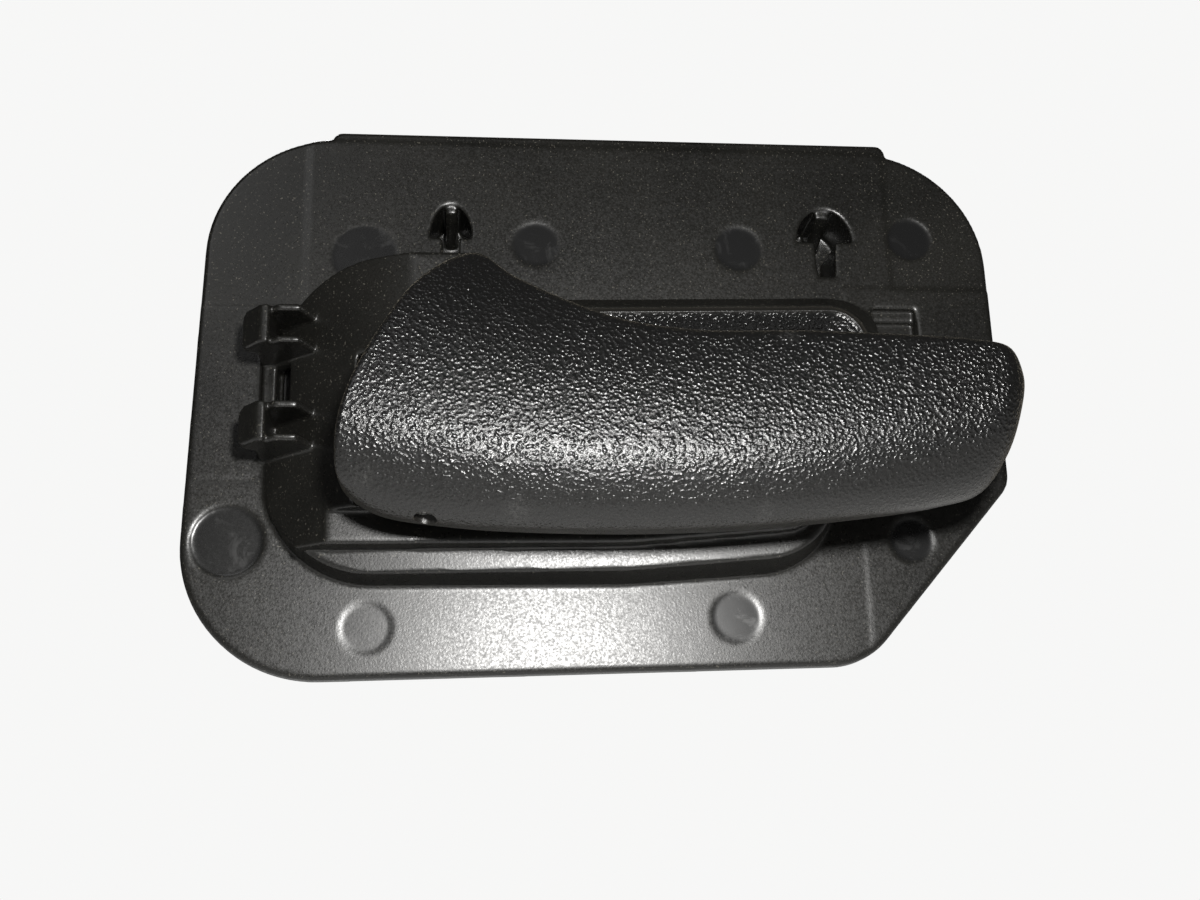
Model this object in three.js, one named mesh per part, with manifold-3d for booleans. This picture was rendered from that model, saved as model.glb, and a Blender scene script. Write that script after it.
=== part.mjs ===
// Inner car door handle: a moulded base plate that sits behind the door trim, a
// finger cup, and a pull lever that turns on an upright pin and works a rod behind.
//
// Millimetres. +X runs from the pivot to the lever's free end, +Z is up, and the
// side that faces the driver is -Y. Heights are counted forward from the flange's
// rear face, so a height h is the plane y = -h. The design is drawn about the
// plate's middle and then lifted so that the origin lies on the flange's rear
// face, in the flat strip below the housing.

import * as THREE from 'three';
import { mergeVertices } from 'three/addons/utils/BufferGeometryUtils.js';
import Module from 'manifold-3d';

const wasm = await Module();
wasm.setup();

// ---------------------------------------------------------------- dimensions

const DATUM_BELOW_MIDDLE = 36; // the origin's distance below the plate's middle
const ARC_STEP = THREE.MathUtils.degToRad(9); // the angle that one facet of an arc takes
const SLIP = 0.25; // the gap between parts that touch
const RUNNING = 0.1; // the radial gap of a turning fit

// flange
const FLANGE_THICK = 3;
const FLANGE_CORNERS = [
  [-66.2, -45.6, 21],
  [39.5, -44.0, 12],
  [65.4, -15.2, 5],
  [65.4, 44.0, 21],
  [-63.6, 44.2, 21],
];
const TAB_CORNERS = [
  [-44.6, 40.0, 0],
  [49.6, 40.0, 0],
  [49.6, 45.5, 1.8],
  [-44.6, 45.5, 1.8],
];
const MOULD_STEP = 0.18; // how far one mould insert stands off the next
const MOULD_SEAM = [-14.7, -14.4]; // a fine groove across the flange's left end
// round ejector marks: x, z, radius, depth
const EJECTOR_MARKS = [
  [-38.8, 23.1, 5.4, 0.25],
  [-11.0, 25.7, 3.9, 0.35],
  [22.8, 25.5, 4.0, 0.35],
  [52.4, 27.8, 3.8, 0.45],
  [-58.5, -24.1, 5.5, 0.5],
  [-37.4, -37.5, 3.9, 0.35],
  [19.3, -36.4, 4.0, 0.35],
  [48.2, -24.3, 3.6, 0.35],
];
// blind slots in the flange, each with a fin: span runs from the stem's low end to the shoulder
const CLIP_SLOTS = [
  { x: -24.9, span: [19.6, 26.6], head: 3.4, stem: 1.4, fin: 0.9 },
  { x: 37.7, span: [20.8, 27.0], head: 4.7, stem: 1.8, fin: 1.2 },
];
const CLIP_DEPTH = 7; // how far the slots reach behind the flange
const CLIP_WALL = 1.5;
const CLIP_TOP = 7.6; // from a slot's shoulder to the top of its shell
const POCKET_SPAN = [46.2, 52.6]; // the stepped pocket right of the housing
const POCKET_RISE = [8.4, 15.1];
const POCKET_DEPTH = 1.1;
const POCKET_STEP_TOP = 13.1;
const POCKET_STEP_DEPTH = 1.9;

// housing: the raised middle of the base
const HOUSING_CORNERS = [
  [-53.3, -31.1, 17],
  [2.0, -31.2, 60],
  [32.0, -29.2, 13],
  [48.0, 15.4, 8.5],
  [-18.8, 14.6, 0],
  [-20.4, 17.6, 0],
  [-53.3, 17.6, 17],
];
const LEDGE_HEIGHT = 9.5;
const LEDGE_DRAFT = 1;
const FACE_HEIGHT = 12.5;
const FACE_CORNERS = [
  [-43.3, -26.6, 0.6],
  [2.0, -26.6, 60],
  [30.0, -24.4, 7],
  [45.4, 13.2, 7.5],
  [-43.3, 12.6, 0.6],
];
const TOWER_HEIGHT = 19.3;
const TOWER_DRAFT = 0.7;
const TOWER_LOW = -21.7;
const TOWER_RIGHT = -18.8;
const WALL = 2.2;
const RAMP = [
  [-54.2, 2.2],
  [-44.2, 13.6],
  [-29.8, 19.4],
];
const NOSE_ROOM = 0.6; // room round the lever's nose as it turns
const HOOK_LOWS = [3.7, -11.6]; // lower ends of the two snap hooks
const HOOK_RISE = 6.2;
const HOOK_RIB = 1.1;

// finger cup
const CUP_CORNERS = [
  [-12.5, -22.4, 7],
  [31.0, -21.6, 9],
  [43.2, 11.4, 7],
  [-12.5, 10.9, 7],
];
const CUP_RIM_HEIGHT = 12.8;
const CUP_LIP = 1.1; // the lip that rests on the housing
const CUP_LIP_THICK = 1.6;
const CUP_WALL = 1.8;
const CUP_DEPTH = 15;
const CUP_ENDS = [-12.5, 43.2];
const CUP_SPINE = [3, 29]; // ends of the line at the cup's bottom
const CUP_SPINE_MIDDLE = [15, -5.5];
const CUP_SPINE_SLOPE = 0.12;

// lever
const LEVER_OUTLINE = [
  [-40.6, -16.6],
  [-40.1, -20.4],
  [-35.5, -24.1],
  [-25.0, -26.1],
  [-8.0, -27.1],
  [11.0, -27.0],
  [30.0, -25.6],
  [46.5, -23.3],
  [53.2, -21.2],
  [56.4, -16.8],
  [58.4, -10.6],
  [59.2, -5.0],
  [57.4, -1.2],
  [52.0, 0.1],
  [43.0, 0.9],
  [27.0, 1.8],
  [11.2, 1.9],
  [1.2, 3.4],
  [-7.2, 6.7],
  [-15.7, 11.6],
  [-20.5, 15.4],
  [-23.3, 14.9],
  [-29.1, 10.2],
  [-33.6, 3.2],
  [-38.3, -6.4],
  [-40.1, -12.2],
];
const LEVER_POINTS = 60;
const LEVER_REAR = 20.2; // height of the lever's rear edge
const LEVER_TOP = 30.5; // height of the crest along its front
const LEVER_CREST = [4, -16]; // where the crest lies lowest
const LEVER_CREST_BOW = 0.003;
const LEVER_UPPER_RADIUS = 60; // curvature above the crest and below it
const LEVER_LOWER_RADIUS = 14;
const LEVER_EDGE_RADII = { left: 0.9, right: 4.5, top: 1.6, bottom: 3 };
const LEVER_WALL = 2;
const LEVER_ENDS = [-40.6, 59.2];
const LEVER_SPINE = [-26, 48]; // ends of the line that the front closes on
const LEVER_SPINE_LEVEL = -10.8;
const LEVER_SPINE_RISE = 5.2; // how much higher that line lies in the wing

// pivot
const PIN_X = -28.2;
const PIN_HEIGHT = 23;
const PIN_RADIUS = 1.5;
const PIN_LOW = -24.6;
const PIN_HIGH = 3.6;
const BUSH_RADIUS = 2.4;
const CHEEK_RADIUS = 3.5;
const LUG_RADIUS = 2.4;
const LUG_ROOT = PIN_X - 0.1; // left side of the column under each lug
const LOWER_CHEEK = [-18.6, -16.1];
const LOWER_WASHER = [-15.85, -15.35];
const LOWER_LUG = [-15.1, -11.7];
const CLIP_GROOVE = [-11.4, -10.7];
const SPRING_SPAN = [-9.9, -1.9];
const SPRING_COIL = 3.2;
const SPRING_TURNS = 6.25;
const SPRING_WIRE = 0.5;
const UPPER_CHEEK = [-1.1, 1.4];
const UPPER_WASHER = [1.65, 2.15];
const UPPER_LUG = [2.4, 3.9];

// lever core
const TRAY_THICK = 1.8;
const TRAY_LEFT = -22.5;
const TRAY_TOP = 10;
const WEB = [-22.2, -19.8];
const WEB_FRONT = 25.4;
const ARM_SPAN = [-4.5, 0.5];
const ARM_HALF_WIDTH = 1.7;
const ARM_ROOT = [-20.6, 20.8];
const ARM_END = [-38.2, -7.5];
const ARM_EYE_RADIUS = 3.4;
const ROD_STEM_RADIUS = 1.7;
const ROD_CLIP_SPAN = [0.8, 4.8];
const ROD_RADIUS = 1.5;

// openings, fasteners and seals
const ARM_SLOT = [-38.6, -16.0];
const ARM_SLOT_SPAN = [-6.0, 2.0];
const SCREW_RADIUS = 1.2;
const SCREW_HEAD_RADIUS = 2.5;
const SCREW_HEAD_THICK = 1.5;
const BOSS_RADIUS = 2.9;
const SHIELD_THICK = 1.5;
const SHIELD_BOSSES = [
  [-43.5, -18.0],
  [-43.5, 8.5],
];
const LEVER_BOSSES = [
  [2.0, -10.5],
  [42.0, -10.0],
];
const SHIELD_CORNERS = [
  [-54.8, -32.8, 18],
  [-14.0, -32.8, 3],
  [-14.0, 17.8, 3],
  [-54.8, 17.8, 16],
];
const SEAL_INSETS = [2.0, 4.4];
const SEAL_DEPTH = 1.1;
const REST_BUFFER = [-15.6, -8.0];
const REST_BUFFER_RADIUS = 2.4;
const REST_STEM_RADIUS = 1.2;

// ---------------------------------------------------------------- materials

function plastic(colour, roughness) {
  return new THREE.MeshStandardMaterial({ color: colour, roughness, metalness: 0 });
}

function steel(colour, roughness) {
  return new THREE.MeshStandardMaterial({ color: colour, roughness, metalness: 1 });
}

const plateBlack = plastic(0x2b2b29, 0.5);
const grainBlack = plastic(0x1c1c1c, 0.45);
const coreBlack = plastic(0x202020, 0.6);
const bushWhite = plastic(0xd8d6cc, 0.5);
const clipPlastic = plastic(0x3d5a3a, 0.5);
const rubberBlack = plastic(0x151515, 0.9);
const foamGrey = plastic(0x3a3a3c, 1);
const pinSteel = steel(0xb4b4b0, 0.3);
const springSteel = steel(0x8f9092, 0.35);
const screwSteel = steel(0x9a9a94, 0.4);

// ---------------------------------------------------------------- helpers

/** An outline from corners [x, z, radius], each rounded by an arc, counter-clockwise. */
function roundedOutline(corners) {
  const points = [];
  corners.forEach(([x, z, radius], i) => {
    const corner = new THREE.Vector2(x, z);
    if (radius === 0) {
      points.push(corner);
      return;
    }
    const before = new THREE.Vector2(...corners.at(i - 1).slice(0, 2)).sub(corner).normalize();
    const after = new THREE.Vector2(...corners[(i + 1) % corners.length].slice(0, 2));
    after.sub(corner).normalize();
    const half = Math.acos(THREE.MathUtils.clamp(before.dot(after), -1, 1)) / 2;
    const bisector = before.clone().add(after).normalize();
    const centre = corner.clone().addScaledVector(bisector, radius / Math.sin(half));
    const start = corner.clone().addScaledVector(before, radius / Math.tan(half)).sub(centre);
    const turn = (Math.PI - 2 * half) * Math.sign(after.cross(before));
    const steps = Math.max(2, Math.round(Math.abs(turn) / ARC_STEP));
    for (let k = 0; k <= steps; k += 1) {
      points.push(start.clone().rotateAround(new THREE.Vector2(), (turn * k) / steps).add(centre));
    }
  });
  return points;
}

/** The same outline moved inwards by a distance, or outwards if it is negative. */
function inset(points, distance) {
  return points.map((point, i) => {
    const before = point.clone().sub(points.at(i - 1)).normalize();
    const after = points[(i + 1) % points.length].clone().sub(point).normalize();
    const normal = new THREE.Vector2(-(before.y + after.y), before.x + after.x).normalize();
    const share = Math.max(0.5, normal.dot(new THREE.Vector2(-before.y, before.x)));
    return point.clone().addScaledVector(normal, distance / share);
  });
}

/** A closed body through rings of equal length; a ring is [outline, height or its function]. */
function loft(rings) {
  const heightOf = (height, p, i) => (typeof height === 'number' ? height : height(p, i));
  const startOf = ([outline, height]) => heightOf(height, outline[0], 0);
  const ordered = startOf(rings[0]) <= startOf(rings.at(-1)) ? rings : [...rings].reverse();
  const count = ordered[0][0].length;
  const positions = ordered.flatMap(([outline, height]) =>
    outline.flatMap((p, i) => [p.x, -heightOf(height, p, i), p.y]),
  );
  const index = [];
  for (let ring = 0; ring + 1 < ordered.length; ring += 1) {
    for (let i = 0; i < count; i += 1) {
      const next = (i + 1) % count;
      const back = ring * count;
      const front = back + count;
      index.push(back + i, back + next, front + next, back + i, front + next, front + i);
    }
  }
  const last = (ordered.length - 1) * count;
  THREE.ShapeUtils.triangulateShape(ordered[0][0], []).forEach(([a, b, c]) => index.push(a, c, b));
  THREE.ShapeUtils.triangulateShape(ordered.at(-1)[0], []).forEach(([a, b, c]) =>
    index.push(last + a, last + b, last + c),
  );
  const geometry = new THREE.BufferGeometry();
  geometry.setAttribute('position', new THREE.Float32BufferAttribute(positions, 3));
  geometry.setIndex(index);
  return solid(geometry);
}

/** The rings of a bowl below an outline, which closes on a spine. */
function bowl(outline, spine, rim, depth, steps) {
  const rings = [];
  for (let k = 0; k < steps; k += 1) {
    const spread = 1 - k / (steps - 0.6);
    rings.push([outline.map((p) => spine(p).lerp(p, spread)), rim - depth * (1 - spread ** 2)]);
  }
  return rings;
}

/** A manifold solid from a three.js geometry. */
function solid(geometry) {
  const bare = geometry.clone();
  bare.deleteAttribute('normal');
  bare.deleteAttribute('uv');
  const merged = mergeVertices(bare, 1e-4);
  return new wasm.Manifold(
    new wasm.Mesh({
      numProp: 3,
      vertProperties: new Float32Array(merged.attributes.position.array),
      triVerts: new Uint32Array(merged.index.array),
    }),
  );
}

function join(first, ...others) {
  return others.reduce((body, other) => body.add(other), first);
}

function cut(body, ...tools) {
  return tools.reduce((left, tool) => left.subtract(tool), body);
}

/** A plate with the given outline between two heights. */
function slab(outline, back, front) {
  const shape = new THREE.Shape(outline);
  const geometry = new THREE.ExtrudeGeometry(shape, { depth: front - back, bevelEnabled: false });
  return solid(geometry.rotateX(Math.PI / 2).translate(0, -back, 0));
}

/** A prism that stands upright: its section is a list of [x, height]. */
function upright(section, low, high) {
  const shape = new THREE.Shape(section.map(([x, height]) => new THREE.Vector2(x, -height)));
  const geometry = new THREE.ExtrudeGeometry(shape, { depth: high - low, bevelEnabled: false });
  return solid(geometry.translate(0, 0, low));
}

/** A box between two x values, two heights and two z values. */
function block([left, right], [back, front], [low, high]) {
  const box = new THREE.BoxGeometry(right - left, front - back, high - low);
  return solid(box.translate((left + right) / 2, -(back + front) / 2, (low + high) / 2));
}

/** An upright round bar. */
function post(x, height, radius, [low, high], sides = 24) {
  const bar = new THREE.CylinderGeometry(radius, radius, high - low, sides);
  return solid(bar.rotateX(Math.PI / 2).translate(x, -height, (low + high) / 2));
}

/** A round bar that points forward. */
function stud(x, z, radius, [back, front], sides = 24) {
  const bar = new THREE.CylinderGeometry(radius, radius, front - back, sides);
  return solid(bar.translate(x, -(back + front) / 2, z));
}

/** A body of revolution about the pivot pin's axis, from [radius, z] points. */
function turned(profile, segments = 32) {
  const points = profile.map(([radius, z]) => new THREE.Vector2(radius, z));
  const geometry = new THREE.LatheGeometry(points, segments);
  return solid(geometry.rotateX(Math.PI / 2).translate(PIN_X, -PIN_HEIGHT, 0));
}

/** A flat ring about the pivot pin. */
function ring(inner, outer, [low, high], segments = 24) {
  const profile = [
    [inner, low],
    [outer, low],
    [outer, high],
    [inner, high],
    [inner, low],
  ];
  return turned(profile, segments);
}

const handle = new THREE.Group();

/** Adds a finished solid to the handle as a named mesh. */
function addPart(name, body, material) {
  const { numProp, vertProperties, triVerts } = body.getMesh();
  const positions = [];
  for (let i = 0; i < vertProperties.length; i += numProp) {
    positions.push(...vertProperties.slice(i, i + 3));
  }
  const geometry = new THREE.BufferGeometry();
  geometry.setAttribute('position', new THREE.Float32BufferAttribute(positions, 3));
  geometry.setIndex([...triVerts]);
  geometry.computeVertexNormals();
  const mesh = new THREE.Mesh(geometry, material);
  mesh.name = name;
  handle.add(mesh);
}

// ---------------------------------------------------------------- shared outlines

const flangeOutline = roundedOutline(FLANGE_CORNERS);
const housingOutline = roundedOutline(HOUSING_CORNERS);
const cupOutline = roundedOutline(CUP_CORNERS);

const leverCurve = new THREE.CatmullRomCurve3(
  LEVER_OUTLINE.map(([x, z]) => new THREE.Vector3(x, z, 0)),
  true,
  'centripetal',
);
const leverOutline = leverCurve
  .getSpacedPoints(LEVER_POINTS)
  .slice(0, LEVER_POINTS)
  .map((p) => new THREE.Vector2(p.x, p.y));

/** Height of the lever's front, which is crowned about a crest along its lower half. */
function leverFront(point) {
  const [lowest, level] = LEVER_CREST;
  const above = point.y - level - LEVER_CREST_BOW * (point.x - lowest) ** 2;
  const radius = above > 0 ? LEVER_UPPER_RADIUS : LEVER_LOWER_RADIUS;
  return LEVER_TOP - above ** 2 / (2 * radius);
}

/** How far the front's edge is rounded at each point of the lever's outline. */
const leverEdgeRadii = leverOutline.map((point, i) => {
  const along = leverOutline[(i + 1) % leverOutline.length].clone().sub(leverOutline.at(i - 1)).normalize();
  const { left, right, top, bottom } = LEVER_EDGE_RADII;
  return along.y ** 2 * (along.y > 0 ? right : left) + along.x ** 2 * (along.x > 0 ? bottom : top);
});

/** The rings of the lever's front inside a wall of some depth: side, rounded edge and crown. */
function leverRings(wall, edgeSteps, steps) {
  const outline = inset(leverOutline, wall);
  const radii = leverEdgeRadii.map((radius) => Math.max(0.3, radius - wall));
  const rings = [];
  const addRing = (depth, drop, share) => {
    const points = outline.map((p, i) => {
      const spine = leverSpine(p);
      const reach = Math.min(1, (radii[i] * depth) / spine.distanceTo(p));
      return p.clone().lerp(spine, reach + (1 - reach) * share);
    });
    rings.push([points, (p, i) => leverFront(p) - wall - radii[i] * drop]);
  };
  for (let k = 0; k <= edgeSteps; k += 1) {
    const angle = (Math.PI / 2) * (k / edgeSteps);
    addRing(1 - Math.cos(angle), 1 - Math.sin(angle), 0);
  }
  for (let k = 1; k < steps; k += 1) {
    addRing(1, 0, k / (steps - 0.6));
  }
  return rings;
}

/** The line that the lever's front closes on: low along the grip, higher in the wing. */
function leverSpine(point) {
  const x = THREE.MathUtils.mapLinear(point.x, ...LEVER_ENDS, ...LEVER_SPINE);
  const wing = THREE.MathUtils.smoothstep(-x, 0, -LEVER_SPINE[0]);
  return new THREE.Vector2(x, LEVER_SPINE_LEVEL + LEVER_SPINE_RISE * wing);
}

/** The line at the bottom of the finger cup. */
function cupSpine(point) {
  const x = THREE.MathUtils.mapLinear(point.x, ...CUP_ENDS, ...CUP_SPINE);
  const [middle, level] = CUP_SPINE_MIDDLE;
  return new THREE.Vector2(x, level + CUP_SPINE_SLOPE * (x - middle));
}

/** What the lever's nose sweeps as it turns on its pin, with some room around it. */
function noseSweep(room) {
  const rearDrop = PIN_HEIGHT - LEVER_REAR;
  const around = inset(leverOutline, -room).filter((p) => p.x < PIN_X);
  around.sort((a, b) => a.y - b.y);
  const profile = around.map((p) => [Math.hypot(PIN_X - p.x, rearDrop) + room, p.y]);
  return turned([[0, profile[0][1]], ...profile, [0, profile.at(-1)[1]]], 48);
}

/** Everything under the smooth ramp that rises from the flange to the tower. */
function underRamp(shift) {
  const curve = new THREE.QuadraticBezierCurve(
    ...RAMP.map(([x, height]) => new THREE.Vector2(x + shift, height)),
  );
  const top = curve.getPoints(14).map((p) => [p.x, p.y]);
  const [start] = top;
  return upright([[start[0], -10], [60, -10], [60, RAMP.at(-1)[1]], ...top.reverse()], -60, 60);
}

// ---------------------------------------------------------------- base plate

/** The flat flange with its top tab, mould steps and ejector marks. */
function flange() {
  const edgeSoft = 0.5;
  const plate = join(
    slab(flangeOutline, 0, FLANGE_THICK - edgeSoft),
    loft([
      [flangeOutline, FLANGE_THICK - edgeSoft],
      [inset(flangeOutline, edgeSoft), FLANGE_THICK],
    ]),
  );
  const tab = slab(roundedOutline(TAB_CORNERS), 0, FLANGE_THICK - MOULD_STEP / 2);
  const stepBack = [FLANGE_THICK - MOULD_STEP, FLANGE_THICK + 1];
  const steps = [
    block([-70, -48.2], stepBack, [14.3, 60]),
    block([48.6, 70], stepBack, [18.7, 60]),
    block([-70, -54.5], [FLANGE_THICK - 2 * MOULD_STEP, FLANGE_THICK + 1], MOULD_SEAM),
  ];
  return cut(join(plate, tab), ...steps);
}

function ejectorMarks() {
  return EJECTOR_MARKS.map(([x, z, radius, depth]) =>
    stud(x, z, radius, [FLANGE_THICK - depth, FLANGE_THICK + 5], 30),
  );
}

/** The raised middle: ledge, front face, ramp and the pivot tower. */
function housing() {
  const root = FLANGE_THICK - 0.5;
  const ledge = loft([
    [housingOutline, root],
    [inset(housingOutline, LEDGE_DRAFT), LEDGE_HEIGHT],
  ]);
  const face = slab(roundedOutline(FACE_CORNERS), root, FACE_HEIGHT);
  const column = loft([
    [housingOutline, root],
    [inset(housingOutline, TOWER_DRAFT), TOWER_HEIGHT],
  ]);
  const tower = column.intersect(block([-60, TOWER_RIGHT], [0, 30], [TOWER_LOW, 30]));
  const strip = block([-43.3, -30], [root, FACE_HEIGHT], [-26.6, TOWER_LOW]);
  const ramped = join(ledge, face, tower).intersect(underRamp(0));
  return cut(join(ramped, strip), noseSweep(NOSE_ROOM));
}

/** The hollow behind the raised middle. */
function housingHollow() {
  const low = loft([
    [inset(housingOutline, WALL), -1],
    [inset(housingOutline, WALL + LEDGE_DRAFT), LEDGE_HEIGHT - WALL],
  ]);
  const high = block([-50, TOWER_RIGHT - WALL], [-1, TOWER_HEIGHT - WALL], [TOWER_LOW + WALL, 14.6]);
  const column = slab(inset(housingOutline, WALL + TOWER_DRAFT), -1, TOWER_HEIGHT);
  const room = join(low, high.intersect(column)).intersect(underRamp(WALL * 1.4));
  return cut(room, noseSweep(NOSE_ROOM + WALL));
}

/** The two ears that hold the pivot pin inside the lever. */
function pinLugs() {
  const ear = ([low, high]) =>
    join(
      block([LUG_ROOT, PIN_X + LUG_RADIUS], [5, PIN_HEIGHT], [low, high]),
      post(PIN_X, PIN_HEIGHT, LUG_RADIUS, [low, high]),
    );
  return join(ear(LOWER_LUG), ear(UPPER_LUG));
}

/** One snap hook that stands on the flange, with its two gusset ribs. */
function snapHook(low) {
  const high = low + HOOK_RISE;
  const barb = upright(
    [
      [-54.2, 2.5],
      [-54.2, 9.3],
      [-56.4, 9.7],
      [-56.4, 11.0],
      [-53.4, 14.7],
      [-52.3, 15.0],
      [-51.9, 14.6],
      [-51.9, 2.5],
    ],
    low,
    high,
  );
  const corners = [low, high].map((z) => {
    const bite = new THREE.BoxGeometry(1.6, 14, 1.6).rotateY(Math.PI / 4);
    return solid(bite.translate(-56.7, -10, z));
  });
  const gusset = [
    [-52.2, 2.5],
    [-52.2, 13.6],
    [-50.7, 15.0],
    [-47.6, 15.0],
    [-47.1, 14.6],
    [-45.0, 9.6],
    [-45.0, 2.5],
  ];
  return join(
    cut(barb, ...corners),
    upright(gusset, low, low + HOOK_RIB),
    upright(gusset, high - HOOK_RIB, high),
  );
}

/** A blind slot with a round top and a narrow stem, and the fin that stands in it. */
function clipSlot(x, [low, shoulder], head, stem) {
  const outline = [];
  for (let angle = 0; angle <= 180; angle += 15) {
    const turn = THREE.MathUtils.degToRad(angle);
    outline.push(new THREE.Vector2(x + head * Math.cos(turn), shoulder + 6 * Math.sin(turn)));
  }
  outline.push(new THREE.Vector2(x - stem, shoulder));
  outline.push(new THREE.Vector2(x - stem * 0.8, low));
  outline.push(new THREE.Vector2(x + stem * 0.8, low));
  outline.push(new THREE.Vector2(x + stem, shoulder));
  return outline;
}

function clipPocketShells() {
  return CLIP_SLOTS.map(({ x, span, head }) => {
    const half = head + 1.6;
    return block([x - half, x + half], [-CLIP_DEPTH - CLIP_WALL, 1], [span[0] - 1.4, span[1] + CLIP_TOP]);
  });
}

function clipPockets() {
  return CLIP_SLOTS.map(({ x, span, head, stem }) =>
    slab(clipSlot(x, span, head, stem), -CLIP_DEPTH, 5),
  );
}

/** A fin's front edge meets the flange at the top and falls away below. */
function clipFins() {
  return CLIP_SLOTS.map(({ x, span, fin }) => {
    const side = [
      [span[1] + 5.2, -CLIP_DEPTH - 0.5],
      [span[1] + 5.2, FLANGE_THICK - 0.4],
      [span[1] + 3.9, FLANGE_THICK - 0.4],
      [span[1] + 2.9, FLANGE_THICK - 2.4],
      [span[0] + 0.4, -CLIP_DEPTH + 1.5],
      [span[0] + 0.4, -CLIP_DEPTH - 0.5],
    ];
    const shape = new THREE.Shape(side.map(([z, height]) => new THREE.Vector2(z, height)));
    const geometry = new THREE.ExtrudeGeometry(shape, { depth: 2 * fin, bevelEnabled: false });
    // the shape's x becomes z, its y becomes height and its depth becomes x
    const turn = new THREE.Matrix4().set(0, 0, 1, x - fin, 0, -1, 0, 0, 1, 0, 0, 0, 0, 0, 0, 1);
    return solid(geometry.applyMatrix4(turn));
  });
}

/** Catches behind the flange that hook over the door's inner panel. */
function panelCatches() {
  return CLIP_SLOTS.map(({ x, span, head }) => {
    const top = span[1] + CLIP_TOP;
    const thick = [-CLIP_DEPTH - CLIP_WALL, -CLIP_DEPTH + CLIP_WALL];
    return join(
      block([x - head, x + head], thick, [top - 1, top + 1.8]),
      block([x - 0.8, x + 0.8], [-CLIP_DEPTH, 1], [top - 1, top + 1.0]),
    );
  });
}

/** The groove for the seal, just inside the flange's edge on its rear face. */
function sealGroove() {
  const [outer, inner] = SEAL_INSETS.map((distance) => inset(flangeOutline, distance));
  return cut(slab(outer, -1, SEAL_DEPTH), slab(inner, -2, SEAL_DEPTH + 1));
}

function basePlate() {
  const hollow = housingHollow();
  const cupSeat = slab(inset(cupOutline, -SLIP), CUP_RIM_HEIGHT - CUP_LIP_THICK - SLIP, 30);
  const cupHole = slab(inset(cupOutline, CUP_LIP - SLIP), -5, 30);
  const armSlot = block(ARM_SLOT, [-5, TOWER_HEIGHT + 5], ARM_SLOT_SPAN);
  const pocket = block(POCKET_SPAN, [FLANGE_THICK - POCKET_DEPTH, 8], POCKET_RISE);
  const stepRise = [POCKET_RISE[0], POCKET_STEP_TOP];
  const pocketStep = block(POCKET_SPAN, [FLANGE_THICK - POCKET_STEP_DEPTH, 8], stepRise);
  const hookWindow = block([-51.9, -49.5], [0.8, 9], [-4.9, 3.3]);
  const hookLink = block([-54.2, -51.9], [2, FLANGE_THICK + 1.1], [-5.6, 3.9]);
  const bosses = SHIELD_BOSSES.map(([x, z]) => stud(x, z, BOSS_RADIUS, [0, 8.6]));
  const pilotHoles = SHIELD_BOSSES.map(([x, z]) => stud(x, z, SCREW_RADIUS + RUNNING, [-1, 6.4], 16));
  const pinHole = post(PIN_X, PIN_HEIGHT, PIN_RADIUS + RUNNING, [-30, PIN_HIGH + SLIP]);
  const bufferHole = stud(...REST_BUFFER, REST_STEM_RADIUS + RUNNING, [0, 20], 16);
  const webRoom = block([WEB[0] - 1.2, 5], [14, 40], [-30, 12]);
  const body = cut(join(flange(), housing()), hollow);
  const shell = cut(join(body, ...bosses), cupSeat, cupHole, armSlot, pocket, pocketStep, webRoom);
  const hooked = join(cut(shell, hookWindow), ...HOOK_LOWS.map(snapHook), hookLink);
  const pocketed = cut(join(hooked, ...clipPocketShells(), ...panelCatches()), ...clipPockets());
  const complete = join(pocketed, ...clipFins(), cut(pinLugs(), pinHole));
  return cut(complete, ...pilotHoles, ...ejectorMarks(), bufferHole, sealGroove());
}

// ---------------------------------------------------------------- finger cup

function fingerCup() {
  const lipBack = CUP_RIM_HEIGHT - CUP_LIP_THICK;
  const bodyOutline = inset(cupOutline, CUP_LIP);
  const mouth = inset(cupOutline, 1.5);
  const lip = slab(cupOutline, lipBack, CUP_RIM_HEIGHT);
  const outer = loft(bowl(bodyOutline, cupSpine, lipBack + 0.5, CUP_DEPTH + 0.6, 9));
  const inner = bowl(inset(mouth, 0.5), cupSpine, CUP_RIM_HEIGHT - 0.6, CUP_DEPTH - 0.4, 9);
  const scoop = loft([[inset(mouth, -0.1), CUP_RIM_HEIGHT + 0.1], ...inner]);
  return cut(join(lip, outer), scoop);
}

// ---------------------------------------------------------------- lever

function leverShell() {
  const outer = loft([[leverOutline, LEVER_REAR], ...leverRings(0, 4, 8)]);
  const cavity = loft([[inset(leverOutline, LEVER_WALL), LEVER_REAR - 1], ...leverRings(LEVER_WALL, 3, 6)]);
  const seat = LEVER_REAR + TRAY_THICK + 0.2 + SLIP;
  const bosses = LEVER_BOSSES.map(([x, z]) => stud(x, z, BOSS_RADIUS, [seat, LEVER_REAR + 9], 20));
  const pilots = LEVER_BOSSES.map(([x, z]) =>
    stud(x, z, SCREW_RADIUS + RUNNING, [seat - 1, LEVER_REAR + 7.4], 16),
  );
  const pinHole = post(PIN_X, PIN_HEIGHT, PIN_RADIUS + 0.15, [-30, -20]);
  return cut(join(cut(outer, cavity), ...bosses), ...pilots, pinHole);
}

/** A straight bar between two points in plan, with a given half width. */
function barSection([ax, ah], [bx, bh], half) {
  const along = new THREE.Vector2(bx - ax, bh - ah).normalize().multiplyScalar(half);
  return [
    [ax - along.y, ah + along.x],
    [bx - along.y, bh + along.x],
    [bx + along.y, bh - along.x],
    [ax + along.y, ah - along.x],
  ];
}

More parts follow.
